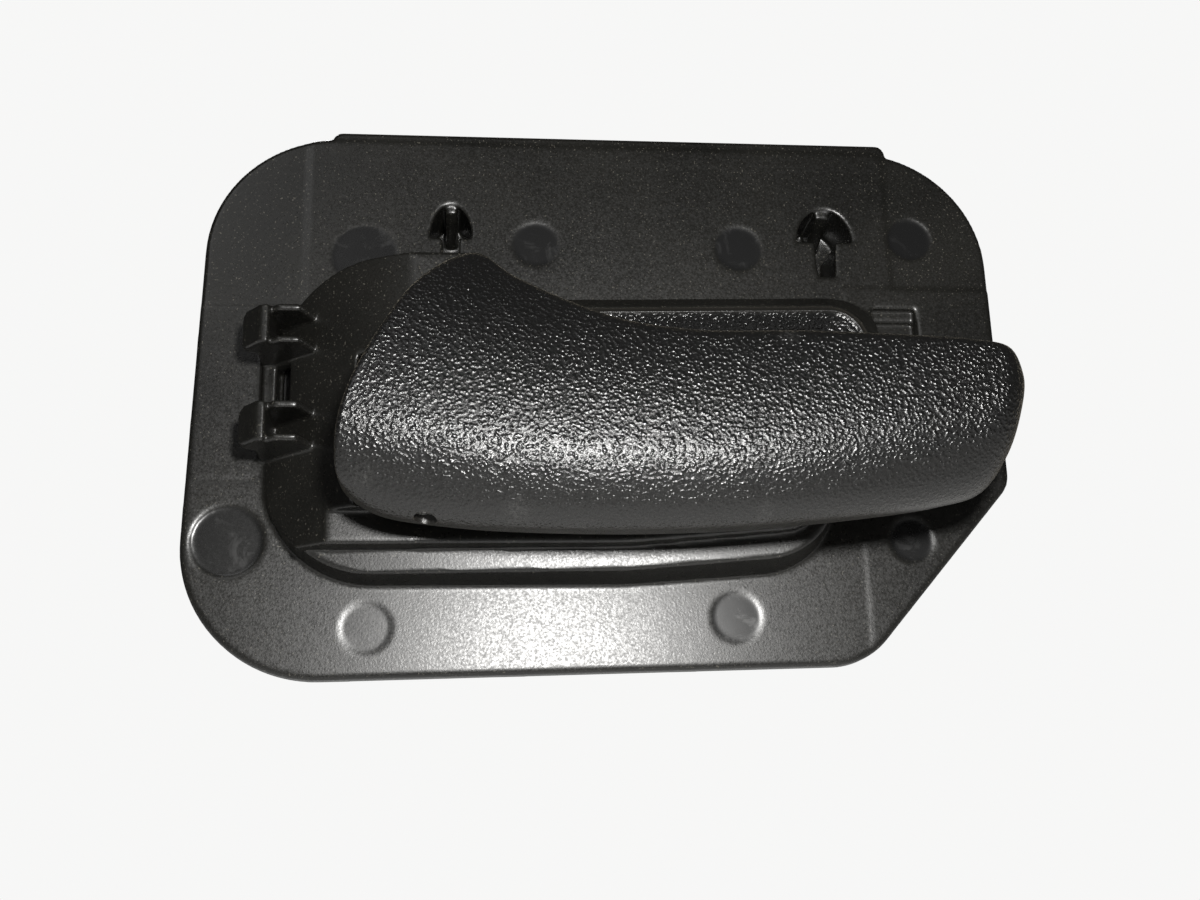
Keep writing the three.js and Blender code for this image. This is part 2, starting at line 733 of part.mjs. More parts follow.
function leverCore() {
  const trayBack = LEVER_REAR + 0.2;
  const trayFront = trayBack + TRAY_THICK;
  const trayShape = inset(leverOutline, LEVER_WALL + 2 * SLIP);
  const rightPart = block([TRAY_LEFT, 80], [0, 60], [-60, TRAY_TOP]);
  const tray = slab(trayShape, trayBack, trayFront).intersect(rightPart);
  const screwHoles = LEVER_BOSSES.map(([x, z]) =>
    stud(x, z, SCREW_RADIUS + RUNNING, [trayBack - 1, trayFront + 1], 16),
  );
  const webSpan = [LOWER_CHEEK[0], UPPER_CHEEK[1]];
  const web = block(WEB, [trayBack, WEB_FRONT], webSpan);
  const cheek = ([low, high]) =>
    join(
      block([PIN_X, WEB[1]], [PIN_HEIGHT - 2.4, PIN_HEIGHT + 2.4], [low, high]),
      post(PIN_X, PIN_HEIGHT, CHEEK_RADIUS, [low, high]),
    );
  const bore = post(PIN_X, PIN_HEIGHT, BUSH_RADIUS + RUNNING / 2, [-40, 20]);
  const arm = join(
    upright(barSection(ARM_END, ARM_ROOT, ARM_HALF_WIDTH), ...ARM_SPAN),
    post(ARM_ROOT[0], ARM_ROOT[1], ARM_HALF_WIDTH + 0.3, ARM_SPAN, 16),
    post(ARM_END[0], ARM_END[1], ARM_EYE_RADIUS, ARM_SPAN),
  );
  const eye = post(ARM_END[0], ARM_END[1], ROD_STEM_RADIUS + RUNNING, [-9, 9]);
  const cheeks = cut(join(cheek(LOWER_CHEEK), cheek(UPPER_CHEEK)), bore);
  return cut(join(tray, web, cheeks, arm), eye, ...screwHoles);
}

// ---------------------------------------------------------------- pivot pieces

function pivotPin() {
  const chamfer = 0.3;
  const groove = PIN_RADIUS - 0.35;
  return turned(
    [
      [0, PIN_LOW],
      [PIN_RADIUS - chamfer, PIN_LOW],
      [PIN_RADIUS, PIN_LOW + chamfer],
      [PIN_RADIUS, CLIP_GROOVE[0] - 0.1],
      [groove, CLIP_GROOVE[0] - 0.1],
      [groove, CLIP_GROOVE[1] + 0.1],
      [PIN_RADIUS, CLIP_GROOVE[1] + 0.1],
      [PIN_RADIUS, PIN_HIGH - chamfer],
      [PIN_RADIUS - chamfer, PIN_HIGH],
      [0, PIN_HIGH],
    ],
    24,
  );
}

/** A retaining clip that opens to the right. */
function pinClip() {
  const mouth = block([PIN_X, PIN_X + 5], [PIN_HEIGHT - 0.9, PIN_HEIGHT + 0.9], [-20, 0]);
  return cut(ring(PIN_RADIUS - 0.35 + RUNNING, 3.1, CLIP_GROOVE), mouth);
}

function bush(span) {
  return ring(PIN_RADIUS + RUNNING / 2, BUSH_RADIUS, span);
}

function thrustWasher(span) {
  return ring(PIN_RADIUS + RUNNING, 2.8, span);
}

/** A torsion spring: a coil about the pin with one leg on the base and one on the web. */
function returnSpring() {
  const [low, high] = SPRING_SPAN;
  const axisY = -PIN_HEIGHT;
  const stepsPerTurn = 12;
  const steps = Math.round(SPRING_TURNS * stepsPerTurn);
  const points = [11.6, 8.1, 4.5].map((back) => new THREE.Vector3(PIN_X - SPRING_COIL, axisY + back, low));
  for (let k = 0; k <= steps; k += 1) {
    const angle = Math.PI + (k / stepsPerTurn) * 2 * Math.PI;
    const x = PIN_X + SPRING_COIL * Math.cos(angle);
    const y = axisY + SPRING_COIL * Math.sin(angle);
    points.push(new THREE.Vector3(x, y, low + ((high - low) * k) / steps));
  }
  for (const reach of [3.5, 6.5, 9.5]) {
    points.push(new THREE.Vector3(PIN_X + reach, axisY - SPRING_COIL, high));
  }
  const section = new THREE.Shape().absarc(0, 0, SPRING_WIRE, 0, 2 * Math.PI, false);
  const wire = new THREE.ExtrudeGeometry(section, {
    steps: points.length + 8,
    curveSegments: 3,
    extrudePath: new THREE.CatmullRomCurve3(points, false, 'centripetal'),
    bevelEnabled: false,
  });
  return solid(wire);
}

// ---------------------------------------------------------------- rod clip

/** A snap clip that swivels in the arm's eye and holds the latch rod along X. */
function rodClip() {
  const [x, height] = ARM_END;
  const [low, high] = ROD_CLIP_SPAN;
  const jaw = block([x - 9, x], [height - 2.6, height + 2.6], [low, high]);
  const hub = post(x, height, ARM_EYE_RADIUS, [low, high]);
  const stem = post(x, height, ROD_STEM_RADIUS, [ARM_SPAN[0] - 1.4, low + 0.5]);
  const rodAxis = high - 1.3;
  const bar = new THREE.CylinderGeometry(ROD_RADIUS, ROD_RADIUS, 20, 20).rotateZ(Math.PI / 2);
  const rodSeat = solid(bar.translate(x - 3, -height, rodAxis));
  const mouth = block([x - 13, x + 7], [height - 1.15, height + 1.15], [rodAxis, high + 1]);
  return cut(join(jaw, hub, stem), rodSeat, mouth);
}

function rodClipRetainer() {
  const [x, height] = ARM_END;
  const span = [ARM_SPAN[0] - 0.9, ARM_SPAN[0] - 0.25];
  return cut(post(x, height, 3.1, span), post(x, height, ROD_STEM_RADIUS + RUNNING, [-20, 20]));
}

// ---------------------------------------------------------------- rubber, seal and shield

/** The bumper that the closed lever rests on, with its stem through the housing's face. */
function restBuffer() {
  const [x, z] = REST_BUFFER;
  const top = LEVER_REAR + 0.2 - SLIP;
  const profile = [
    [0, FACE_HEIGHT - 4.5],
    [REST_STEM_RADIUS - 0.3, FACE_HEIGHT - 4.5],
    [REST_STEM_RADIUS, FACE_HEIGHT - 4.0],
    [REST_STEM_RADIUS, FACE_HEIGHT + SLIP],
    [REST_BUFFER_RADIUS, FACE_HEIGHT + SLIP],
    [REST_BUFFER_RADIUS - 0.2, top - 0.7],
    [REST_BUFFER_RADIUS - 0.9, top],
    [0, top],
  ];
  const lathe = new THREE.LatheGeometry(
    profile.map(([radius, height]) => new THREE.Vector2(radius, height)),
    20,
  );
  return solid(lathe.rotateX(Math.PI).translate(x, 0, z));
}

/** The pad that the arm meets when the lever is fully open. */
function openBuffer() {
  return block([ARM_SLOT[1] - 1.8, ARM_SLOT[1] - SLIP], [8.0, 12.0], [-5.4, 1.4]);
}

function rearSeal() {
  const [outer, inner] = SEAL_INSETS.map((distance) => inset(flangeOutline, distance));
  const foam = slab(inset(outer, SLIP), 0, SEAL_DEPTH - SLIP);
  return cut(foam, slab(inset(inner, -SLIP), -1, SEAL_DEPTH + 1));
}

/** The thin cover behind the pivot, with a slot for the arm. */
function rearShield() {
  const plate = slab(roundedOutline(SHIELD_CORNERS), -SLIP - SHIELD_THICK, -SLIP);
  const slot = block([ARM_SLOT[0] + 1, ARM_SLOT[1] + 0.4], [-5, 1], ARM_SLOT_SPAN);
  const holes = SHIELD_BOSSES.map(([x, z]) => stud(x, z, SCREW_RADIUS + SLIP, [-5, 1], 16));
  const rib = block([-50, -20], [-SLIP - SHIELD_THICK - 1.2, -SLIP - 0.5], [-25.2, -24.2]);
  const upperRib = block([-50, -20], [-SLIP - SHIELD_THICK - 1.2, -SLIP - 0.5], [12.2, 13.2]);
  return cut(join(plate, rib, upperRib), slot, ...holes);
}

/** A pan head screw driven forward from behind; its head's seat is at a given height. */
function panScrew([x, z], seat, length) {
  const radius = SCREW_RADIUS - 0.05;
  const profile = [
    [0, seat + length],
    [radius * 0.4, seat + length],
    [radius, seat + length - 1.4],
    [radius, seat],
    [SCREW_HEAD_RADIUS, seat],
    [SCREW_HEAD_RADIUS, seat - 0.5],
    [SCREW_HEAD_RADIUS * 0.75, seat - 1.2],
    [SCREW_HEAD_RADIUS * 0.4, seat - SCREW_HEAD_THICK],
    [0, seat - SCREW_HEAD_THICK],
  ];
  const points = profile.map(([r, height]) => new THREE.Vector2(r, -height));
  const body = solid(new THREE.LatheGeometry(points, 20).translate(x, 0, z));
  const recess = [
    block([x - 1.3, x + 1.3], [seat - 2.5, seat - 0.5], [z - 0.3, z + 0.3]),
    block([x - 0.3, x + 0.3], [seat - 2.5, seat - 0.5], [z - 1.3, z + 1.3]),
  ];
  return cut(body, ...recess);
}

// ---------------------------------------------------------------- assembly

addPart('base_plate', basePlate(), plateBlack);
addPart('finger_cup', fingerCup(), grainBlack);
addPart('lever_shell', leverShell(), grainBlack);
addPart('lever_core', leverCore(), coreBlack);
addPart('pivot_pin', pivotPin(), pinSteel);
addPart('pin_clip', pinClip(), springSteel);
addPart('lower_bush', bush(LOWER_CHEEK), bushWhite);
addPart('upper_bush', bush(UPPER_CHEEK), bushWhite);
addPart('lower_thrust_washer', thrustWasher(LOWER_WASHER), bushWhite);
addPart('upper_thrust_washer', thrustWasher(UPPER_WASHER), bushWhite);
addPart('return_spring', returnSpring(), springSteel);
addPart('rod_clip', rodClip(), clipPlastic);
addPart('rod_clip_retainer', rodClipRetainer(), springSteel);
addPart('rest_buffer', restBuffer(), rubberBlack);
addPart('open_buffer', openBuffer(), rubberBlack);
addPart('rear_seal', rearSeal(), foamGrey);
addPart('rear_shield', rearShield(), coreBlack);
addPart('shield_screw_lower', panScrew(SHIELD_BOSSES[0], -2 * SLIP - SHIELD_THICK, 7.2), screwSteel);
addPart('shield_screw_upper', panScrew(SHIELD_BOSSES[1], -2 * SLIP - SHIELD_THICK, 7.2), screwSteel);
addPart('lever_screw_left', panScrew(LEVER_BOSSES[0], LEVER_REAR + 0.2 - SLIP, 7.0), screwSteel);
addPart('lever_screw_right', panScrew(LEVER_BOSSES[1], LEVER_REAR + 0.2 - SLIP, 7.0), screwSteel);

handle.position.z = DATUM_BELOW_MIDDLE;
const group = new THREE.Group();
group.add(handle);

export default group;
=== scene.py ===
import math

import bmesh
import bpy
import numpy as np
from mathutils import Matrix, Vector


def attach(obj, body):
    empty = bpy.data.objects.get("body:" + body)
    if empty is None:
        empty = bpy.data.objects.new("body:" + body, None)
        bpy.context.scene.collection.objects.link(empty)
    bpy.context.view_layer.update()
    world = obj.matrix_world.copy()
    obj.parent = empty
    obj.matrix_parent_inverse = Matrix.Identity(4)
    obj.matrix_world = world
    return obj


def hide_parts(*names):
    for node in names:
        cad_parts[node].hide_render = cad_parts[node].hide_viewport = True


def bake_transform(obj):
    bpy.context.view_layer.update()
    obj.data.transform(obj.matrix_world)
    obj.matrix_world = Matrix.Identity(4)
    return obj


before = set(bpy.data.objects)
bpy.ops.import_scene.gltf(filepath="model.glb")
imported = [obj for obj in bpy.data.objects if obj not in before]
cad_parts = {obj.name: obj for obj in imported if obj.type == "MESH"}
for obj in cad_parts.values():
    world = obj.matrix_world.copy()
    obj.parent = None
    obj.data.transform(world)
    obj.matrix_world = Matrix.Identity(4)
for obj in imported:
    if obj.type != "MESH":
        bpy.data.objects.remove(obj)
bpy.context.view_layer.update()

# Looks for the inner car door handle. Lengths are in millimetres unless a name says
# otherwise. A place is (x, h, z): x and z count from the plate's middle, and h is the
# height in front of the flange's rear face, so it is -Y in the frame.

MM = 0.001
DATUM_BELOW_MIDDLE = 36.0


def place(x, h, z):
    """A point of the design as a point of the frame, in metres."""
    return Vector((x * MM, -h * MM, (z + DATUM_BELOW_MIDDLE) * MM))


# ---------------------------------------------------------------- camera and stage

CAMERA_AT = (-23.58, 215.1, -70.72)
CAMERA_AZIMUTH = -6.0
CAMERA_ELEVATION = -16.0
CAMERA_ROLL = -1.5
LENS = 42.0
SENSOR = 36.0


def view_axes(azimuth, elevation, roll):
    """The right, up and backward directions of a camera, in the frame."""
    a, e, r = (math.radians(v) for v in (azimuth, elevation, roll))
    back = Vector((math.sin(a) * math.cos(e), -math.cos(a) * math.cos(e), math.sin(e)))
    right = Vector((0, 0, 1)).cross(back).normalized()
    up = back.cross(right)
    turned_right = right * math.cos(r) + up * math.sin(r)
    turned_up = up * math.cos(r) - right * math.sin(r)
    return turned_right, turned_up, back


def add_camera():
    data = bpy.data.cameras.new("camera")
    data.lens = LENS
    data.sensor_width = SENSOR
    data.clip_start = 0.005
    camera = bpy.data.objects.new("camera", data)
    bpy.context.scene.collection.objects.link(camera)
    right, up, back = view_axes(CAMERA_AZIMUTH, CAMERA_ELEVATION, CAMERA_ROLL)
    axes = Matrix((right, up, back)).transposed().to_4x4()
    camera.matrix_world = Matrix.Translation(place(*CAMERA_AT)) @ axes
    bpy.context.scene.camera = camera


def add_area_light(name, at, towards, size, power, colour=(1, 1, 1)):
    data = bpy.data.lights.new(name, "AREA")
    data.shape = "DISK"
    data.size = size * MM
    data.energy = power
    data.color = colour
    light = bpy.data.objects.new(name, data)
    light.location = place(*at)
    light.rotation_euler = (place(*towards) - place(*at)).to_track_quat("-Z", "Y").to_euler()
    bpy.context.scene.collection.objects.link(light)


def add_world():
    """A pale backdrop for the camera, and a dimmer sky for what lights the object."""
    world = bpy.data.worlds.new("studio")
    world.use_nodes = True
    nodes, links = world.node_tree.nodes, world.node_tree.links
    nodes.clear()
    seen = nodes.new("ShaderNodeBackground")
    seen.inputs["Color"].default_value = (0.93, 0.93, 0.925, 1)
    lighting = nodes.new("ShaderNodeBackground")
    lighting.inputs["Color"].default_value = (1.0, 0.985, 0.96, 1)
    lighting.inputs["Strength"].default_value = 0.035
    path = nodes.new("ShaderNodeLightPath")
    mix = nodes.new("ShaderNodeMixShader")
    out = nodes.new("ShaderNodeOutputWorld")
    links.new(path.outputs["Is Camera Ray"], mix.inputs["Fac"])
    links.new(lighting.outputs["Background"], mix.inputs[1])
    links.new(seen.outputs["Background"], mix.inputs[2])
    links.new(mix.outputs["Shader"], out.inputs["Surface"])
    bpy.context.scene.world = world


def add_floor():
    """A pale floor well below the handle."""
    mesh = bpy.data.meshes.new("floor")
    half, drop = 1.5, -0.16
    corners = [(-half, -half, drop), (half, -half, drop), (half, half, drop), (-half, half, drop)]
    mesh.from_pydata(corners, [], [(0, 1, 2, 3)])
    floor = bpy.data.objects.new("floor", mesh)
    bpy.context.scene.collection.objects.link(floor)
    material = bpy.data.materials.new("floor")
    material.use_nodes = True
    shader = material.node_tree.nodes["Principled BSDF"]
    shader.inputs["Base Color"].default_value = (0.86, 0.86, 0.85, 1)
    shader.inputs["Roughness"].default_value = 0.9
    shader.inputs["Emission Color"].default_value = (1.0, 0.99, 0.97, 1)
    shader.inputs["Emission Strength"].default_value = 0.12
    mesh.materials.append(material)


def add_studio():
    add_camera()
    add_world()
    add_floor()
    add_area_light("key", (4.0, 215.0, -16.0), (4.0, 3.0, -16.0), 26.0, 0.66, (1.0, 0.99, 0.97))
    add_area_light("flash", (-40.0, 190.0, -215.0), (0.0, 3.0, 0.0), 40.0, 0.45, (1.0, 0.96, 0.9))
    add_area_light("back", (0.0, -650.0, 450.0), (0.0, 0.0, 0.0), 400.0, 5.5)
    add_area_light("fill", (-160.0, 260.0, 190.0), (0.0, 0.0, 0.0), 160.0, 0.09)
    bpy.context.scene.view_settings.view_transform = "Standard"


# ---------------------------------------------------------------- material nodes


class Look:
    """A material under construction: short names for the nodes that the looks share."""

    def __init__(self, name, colour, roughness, metallic=0.0):
        self.material = bpy.data.materials.new(name)
        self.material.use_nodes = True
        tree = self.material.node_tree
        self.nodes, self.links = tree.nodes, tree.links
        self.shader = self.nodes["Principled BSDF"]
        self.shader.inputs["Base Color"].default_value = (*colour, 1)
        self.shader.inputs["Roughness"].default_value = roughness
        self.shader.inputs["Metallic"].default_value = metallic
        self.where = self.nodes.new("ShaderNodeTexCoord").outputs["Object"]

    def put(self, value, socket):
        if isinstance(value, bpy.types.NodeSocket):
            self.links.new(value, socket)
        else:
            socket.default_value = value

    def math(self, operation, a, b=0.0, c=0.0):
        node = self.nodes.new("ShaderNodeMath")
        node.operation = operation
        for value, socket in zip((a, b, c), node.inputs):
            self.put(value, socket)
        return node.outputs[0]

    def noise(self, size, detail=2.0, roughness=0.5, warp=0.0, at=None):
        """Noise whose features are about size millimetres across."""
        node = self.nodes.new("ShaderNodeTexNoise")
        self.links.new(at or self.where, node.inputs["Vector"])
        node.inputs["Scale"].default_value = 1 / (size * MM)
        node.inputs["Detail"].default_value = detail
        node.inputs["Roughness"].default_value = roughness
        node.inputs["Distortion"].default_value = warp
        return node.outputs["Fac"]

    def cells(self, size, feature="F1", randomness=1.0, at=None):
        """Cells about size millimetres across."""
        node = self.nodes.new("ShaderNodeTexVoronoi")
        node.feature = feature
        self.links.new(at or self.where, node.inputs["Vector"])
        node.inputs["Scale"].default_value = 1 / (size * MM)
        node.inputs["Randomness"].default_value = randomness
        return node.outputs["Distance"]

    def stored(self, name):
        """A number that was painted on the mesh."""
        node = self.nodes.new("ShaderNodeAttribute")
        node.attribute_name = name
        return node.outputs["Fac"]

    def remap(self, value, low, high, to_low=0.0, to_high=1.0):
        node = self.nodes.new("ShaderNodeMapRange")
        node.interpolation_type = "SMOOTHSTEP"
        self.put(value, node.inputs["Value"])
        ends = {"From Min": low, "From Max": high, "To Min": to_low, "To Max": to_high}
        for name, number in ends.items():
            node.inputs[name].default_value = number
        return node.outputs["Result"]

    def blend(self, factor, first, second):
        """A colour between two, by a factor."""
        node = self.nodes.new("ShaderNodeMix")
        node.data_type = "RGBA"
        self.put(factor, node.inputs["Factor"])
        for value, socket in ((first, node.inputs["A"]), (second, node.inputs["B"])):
            self.put(value if isinstance(value, bpy.types.NodeSocket) else (*value, 1), socket)
        return node.outputs["Result"]

    def bump(self, height, depth, under=None):
        """A bump whose full height is depth millimetres."""
        node = self.nodes.new("ShaderNodeBump")
        node.inputs["Distance"].default_value = depth * MM
        self.put(height, node.inputs["Height"])
        if under is not None:
            self.links.new(under, node.inputs["Normal"])
        return node.outputs["Normal"]

    def set(self, **sockets):
        for name, value in sockets.items():
            self.put(value, self.shader.inputs[name.replace("_", " ").title()])
        return self.material


def warped(look, size, shift):
    """The object's coordinates moved about by noise, so that cells lose their straight sides."""
    node = look.nodes.new("ShaderNodeTexNoise")
    look.links.new(look.where, node.inputs["Vector"])
    node.inputs["Scale"].default_value = 1 / (size * MM)
    centred = look.nodes.new("ShaderNodeVectorMath")
    centred.operation = "SUBTRACT"
    look.links.new(node.outputs["Color"], centred.inputs[0])
    centred.inputs[1].default_value = (0.5, 0.5, 0.5)
    scaled = look.nodes.new("ShaderNodeVectorMath")
    scaled.operation = "MULTIPLY_ADD"
    look.links.new(centred.outputs[0], scaled.inputs[0])
    scaled.inputs[1].default_value = (shift * MM,) * 3
    look.links.new(look.where, scaled.inputs[2])
    return scaled.outputs[0]


def speckled_plastic():
    """Dark moulded plastic: a coarse skin with painted glints (pale yellowish flecks in its colour), a
    dull bloom, and smooth ejector marks.
    """
    look = Look("plate_plastic", (0.009, 0.009, 0.008), 0.36)
    mark = look.stored("mark")
    # painted glints: pale yellowish flecks mixed into the colour stand in for the plastic's sparkling
    # highlights
    painted_glint = look.remap(look.noise(0.34, 1.0, 0.5), 0.66, 0.76)
    bloom = look.remap(look.noise(22.0, 3.0, 0.55), 0.35, 0.7)
    base = look.blend(bloom, (0.0052, 0.0051, 0.0044), (0.0098, 0.0095, 0.0082))
    with_painted_glints = look.blend(look.math("MULTIPLY", painted_glint, 0.42), base, (0.16, 0.15, 0.125))
    colour = look.blend(mark, with_painted_glints, (0.0085, 0.0086, 0.0088))
    grit = look.remap(look.noise(0.36, 3.0, 0.6), 0.3, 0.72, 0.27, 0.42)
    scuffs = look.remap(look.noise(4.0, 5.0, 0.7, 0.8), 0.52, 0.7, 0.25, 0.38)
    rough = look.nodes.new("ShaderNodeMix")
    look.put(mark, rough.inputs["Factor"])
    look.put(grit, rough.inputs["A"])
    look.put(scuffs, rough.inputs["B"])
    texture = look.math("MULTIPLY", look.noise(0.38, 3.0, 0.65), look.math("SUBTRACT", 1.0, mark))
    skin = look.bump(texture, 0.02)
    waves = look.bump(look.noise(6.0, 2.0), 0.02, skin)
    look.shader.inputs["Specular IOR Level"].default_value = 0.55
    return look.set(base_color=colour, roughness=rough.outputs["Result"], normal=waves)


def leather_plastic():
    """Black plastic with a moulded leather grain, which fades out where the mesh says so."""
    look = Look("grained_plastic", (0.006, 0.006, 0.006), 0.3)
    grained = look.stored("grain")
    at = warped(look, 0.5, 0.16)
    pebbles = look.remap(look.cells(0.5, "SMOOTH_F1", 1.0, at), 0.05, 0.62, 1.0, 0.0)
    wrinkles = look.noise(0.2, 2.0, 0.5, 0.5)
    folds = look.noise(0.8, 2.0, 0.55)
    height = look.math("MULTIPLY_ADD", wrinkles, 0.25, look.math("MULTIPLY", pebbles, 0.85))
    grain = look.math("MULTIPLY", look.math("MULTIPLY_ADD", folds, 0.2, height), grained)
    tooth = look.bump(look.noise(0.28, 3.0, 0.7), 0.045)
    normal = look.bump(grain, 0.125, tooth)
    rough = look.nodes.new("ShaderNodeMix")
    look.put(grained, rough.inputs["Factor"])
    look.put(look.remap(look.noise(0.4, 3.0), 0.3, 0.7, 0.27, 0.38), rough.inputs["A"])
    look.put(look.remap(pebbles, 0.2, 0.9, 0.26, 0.18), rough.inputs["B"])
    tint = look.blend(grained, (0.011, 0.0105, 0.0095), (0.0045, 0.0045, 0.0045))
    patches = look.remap(look.noise(0.5, 4.0, 0.75), 0.42, 0.66)
    rubbed = look.math("MULTIPLY", look.stored("scuff"), patches)
    tint = look.blend(look.math("MULTIPLY", rubbed, 0.13), tint, (0.24, 0.24, 0.23))
    look.shader.inputs["Specular IOR Level"].default_value = 0.64
    look.shader.inputs["Sheen Weight"].default_value = 0.06
    look.shader.inputs["Sheen Roughness"].default_value = 0.35
    look.shader.inputs["Sheen Tint"].default_value = (1.0, 0.9, 0.72, 1.0)
    return look.set(base_color=tint, roughness=rough.outputs["Result"], normal=normal)


def nylon():
    """Matt black glass-filled nylon with faint flow marks."""
    look = Look("core_plastic", (0.02, 0.02, 0.02), 0.55)
    flow = look.noise(5.0, 4.0, 0.6, 1.2)
    base = look.blend(look.remap(flow, 0.35, 0.7), (0.014, 0.014, 0.014), (0.027, 0.027, 0.026))
    skin = look.bump(look.noise(0.3, 3.0, 0.6), 0.02)
    rough = look.remap(flow, 0.3, 0.7, 0.48, 0.62)
    return look.set(base_color=base, roughness=rough, normal=skin)


def pale_plastic(name, low, high):
    """Natural plastic, a little translucent, with a soft mottled skin."""
    look = Look(name, high, 0.42)
    mottle = look.remap(look.noise(2.2, 3.0, 0.6), 0.35, 0.65)
    skin = look.bump(look.noise(0.4, 2.0), 0.01)
    look.shader.inputs["Subsurface Weight"].default_value = 0.15
    look.shader.inputs["Subsurface Scale"].default_value = 0.4 * MM
    rough = look.remap(mottle, 0.0, 1.0, 0.36, 0.5)
    return look.set(base_color=look.blend(mottle, low, high), roughness=rough, normal=skin)


def metal(name, colour, stain, roughness, scratch):
    """Steel with drawn or ground scratches and a few dull stains."""
    look = Look(name, colour, roughness, 1.0)
    stretched = look.nodes.new("ShaderNodeMapping")
    look.links.new(look.where, stretched.inputs["Vector"])
    stretched.inputs["Scale"].default_value = scratch
    lines = look.noise(0.2, 3.0, 0.6, 0.0, stretched.outputs["Vector"])
    stains = look.remap(look.noise(1.8, 4.0, 0.65), 0.5, 0.75)
    rough = look.math("ADD", look.remap(lines, 0.3, 0.7, -0.08, 0.12), roughness)
    base = look.blend(stains, colour, stain)
    return look.set(base_color=base, roughness=rough, normal=look.bump(lines, 0.006))


def rubber():
    """Black rubber with a bloom and a moulded tooth."""
    look = Look("buffer_rubber", (0.012, 0.012, 0.012), 0.8)
    bloom = look.remap(look.noise(1.5, 4.0, 0.7), 0.4, 0.75)
    base = look.blend(bloom, (0.010, 0.010, 0.010), (0.032, 0.031, 0.03))
    rough = look.remap(bloom, 0.0, 1.0, 0.7, 0.92)
    return look.set(base_color=base, roughness=rough, normal=look.bump(look.noise(0.2, 3.0, 0.7), 0.03))


def foam():
    """Closed-cell foam: open cells cut across its skin, with painted shade in their hollows."""
    look = Look("seal_foam", (0.04, 0.04, 0.042), 0.95)
    pores = look.remap(look.cells(0.35, "F1", 1.0, warped(look, 0.6, 0.2)), 0.15, 0.6)
    # painted shade: each pore's hollow middle gets the darker colour
    base = look.blend(pores, (0.018, 0.018, 0.019), (0.06, 0.06, 0.062))
    rough = look.remap(pores, 0.0, 1.0, 1.0, 0.86)
    return look.set(base_color=base, roughness=rough, normal=look.bump(pores, 0.12))


def make_materials():
    return {
        "plate_plastic": speckled_plastic(),
        "grained_plastic": leather_plastic(),
        "core_plastic": nylon(),
        "pin_steel": metal("pin_steel", (0.6, 0.6, 0.58), (0.36, 0.34, 0.31), 0.26, (1, 1, 0.1)),
        "spring_steel": metal("spring_steel", (0.36, 0.36, 0.37), (0.2, 0.18, 0.16), 0.34, (1, 1, 1)),
        "bush_plastic": pale_plastic("bush_plastic", (0.58, 0.56, 0.49), (0.72, 0.7, 0.63)),
        "clip_plastic": pale_plastic("clip_plastic", (0.5, 0.48, 0.4), (0.66, 0.64, 0.56)),
        "buffer_rubber": rubber(),
        "seal_foam": foam(),
        "screw_steel": metal("screw_steel", (0.58, 0.56, 0.5), (0.4, 0.36, 0.28), 0.3, (1, 1, 1)),
    }


# ---------------------------------------------------------------- outlines


def rounded_outline(corners, step=4.0):
    """An outline from corners (x, z, radius), each rounded by an arc."""
    points = []
    for i, (x, z, radius) in enumerate(corners):
        corner = Vector((x, z))
        if radius == 0:
            points.append(corner)
            continue
        before = (Vector(corners[i - 1][:2]) - corner).normalized()
        after = (Vector(corners[(i + 1) % len(corners)][:2]) - corner).normalized()
        half = math.acos(max(-1.0, min(1.0, before.dot(after)))) / 2
        centre = corner + (before + after).normalized() * (radius / math.sin(half))
        start = corner + before * (radius / math.tan(half)) - centre
        turn = math.copysign(math.pi - 2 * half, after.x * before.y - after.y * before.x)
        steps = max(2, round(abs(math.degrees(turn)) / step))
        for k in range(steps + 1):
            points.append(centre + Matrix.Rotation(turn * k / steps, 2) @ start)
    return np.array([tuple(p) for p in points])


def mix(a, b, low, high, t):
    """The value at t on the line through a at low and b at high."""
    return ((high - t) * a + (t - low) * b) / (high - low)


def smooth_curve(corners, per_span=24):
    """A closed centripetal Catmull-Rom curve through corners."""
    corners = np.array(corners, float)
    count = len(corners)
    points = []
    for i in range(count):
        span = [corners[(i + k) % count] for k in (-1, 0, 1, 2)]
        gaps = [np.linalg.norm(b - a) ** 0.5 for a, b in zip(span, span[1:])]
        knots = np.concatenate([[0], np.cumsum(gaps)])
        for t in np.linspace(knots[1], knots[2], per_span, endpoint=False):
            first = [mix(span[k], span[k + 1], knots[k], knots[k + 1], t) for k in range(3)]
            second = [mix(first[k], first[k + 1], knots[k], knots[k + 2], t) for k in range(2)]
            points.append(mix(second[0], second[1], knots[1], knots[2], t))
    return np.array(points)


def spaced(points, count):
    """The closed outline again, as count points an equal distance apart."""
    closed = np.vstack([points, points[:1]])
    along = np.concatenate([[0], np.cumsum(np.linalg.norm(np.diff(closed, axis=0), axis=1))])
    at = np.linspace(0, along[-1], count, endpoint=False)
    return np.stack([np.interp(at, along, closed[:, k]) for k in (0, 1)], axis=1)


def inset(points, distance):
    """The same outline moved inwards by a distance, or outwards if it is negative."""
    before = points - np.roll(points, 1, axis=0)
    after = np.roll(points, -1, axis=0) - points
    before /= np.linalg.norm(before, axis=1)[:, None]
    after /= np.linalg.norm(after, axis=1)[:, None]
    normal = np.stack([-(before[:, 1] + after[:, 1]), before[:, 0] + after[:, 0]], axis=1)
    normal /= np.linalg.norm(normal, axis=1)[:, None]
    share = np.maximum(0.5, normal[:, 1] * before[:, 0] - normal[:, 0] * before[:, 1])
    return points + normal * (distance / share)[:, None]


def smoothstep(value, low, high):
    t = np.clip((value - low) / (high - low), 0.0, 1.0)
    return t * t * (3 - 2 * t)


# ---------------------------------------------------------------- the lever's shape

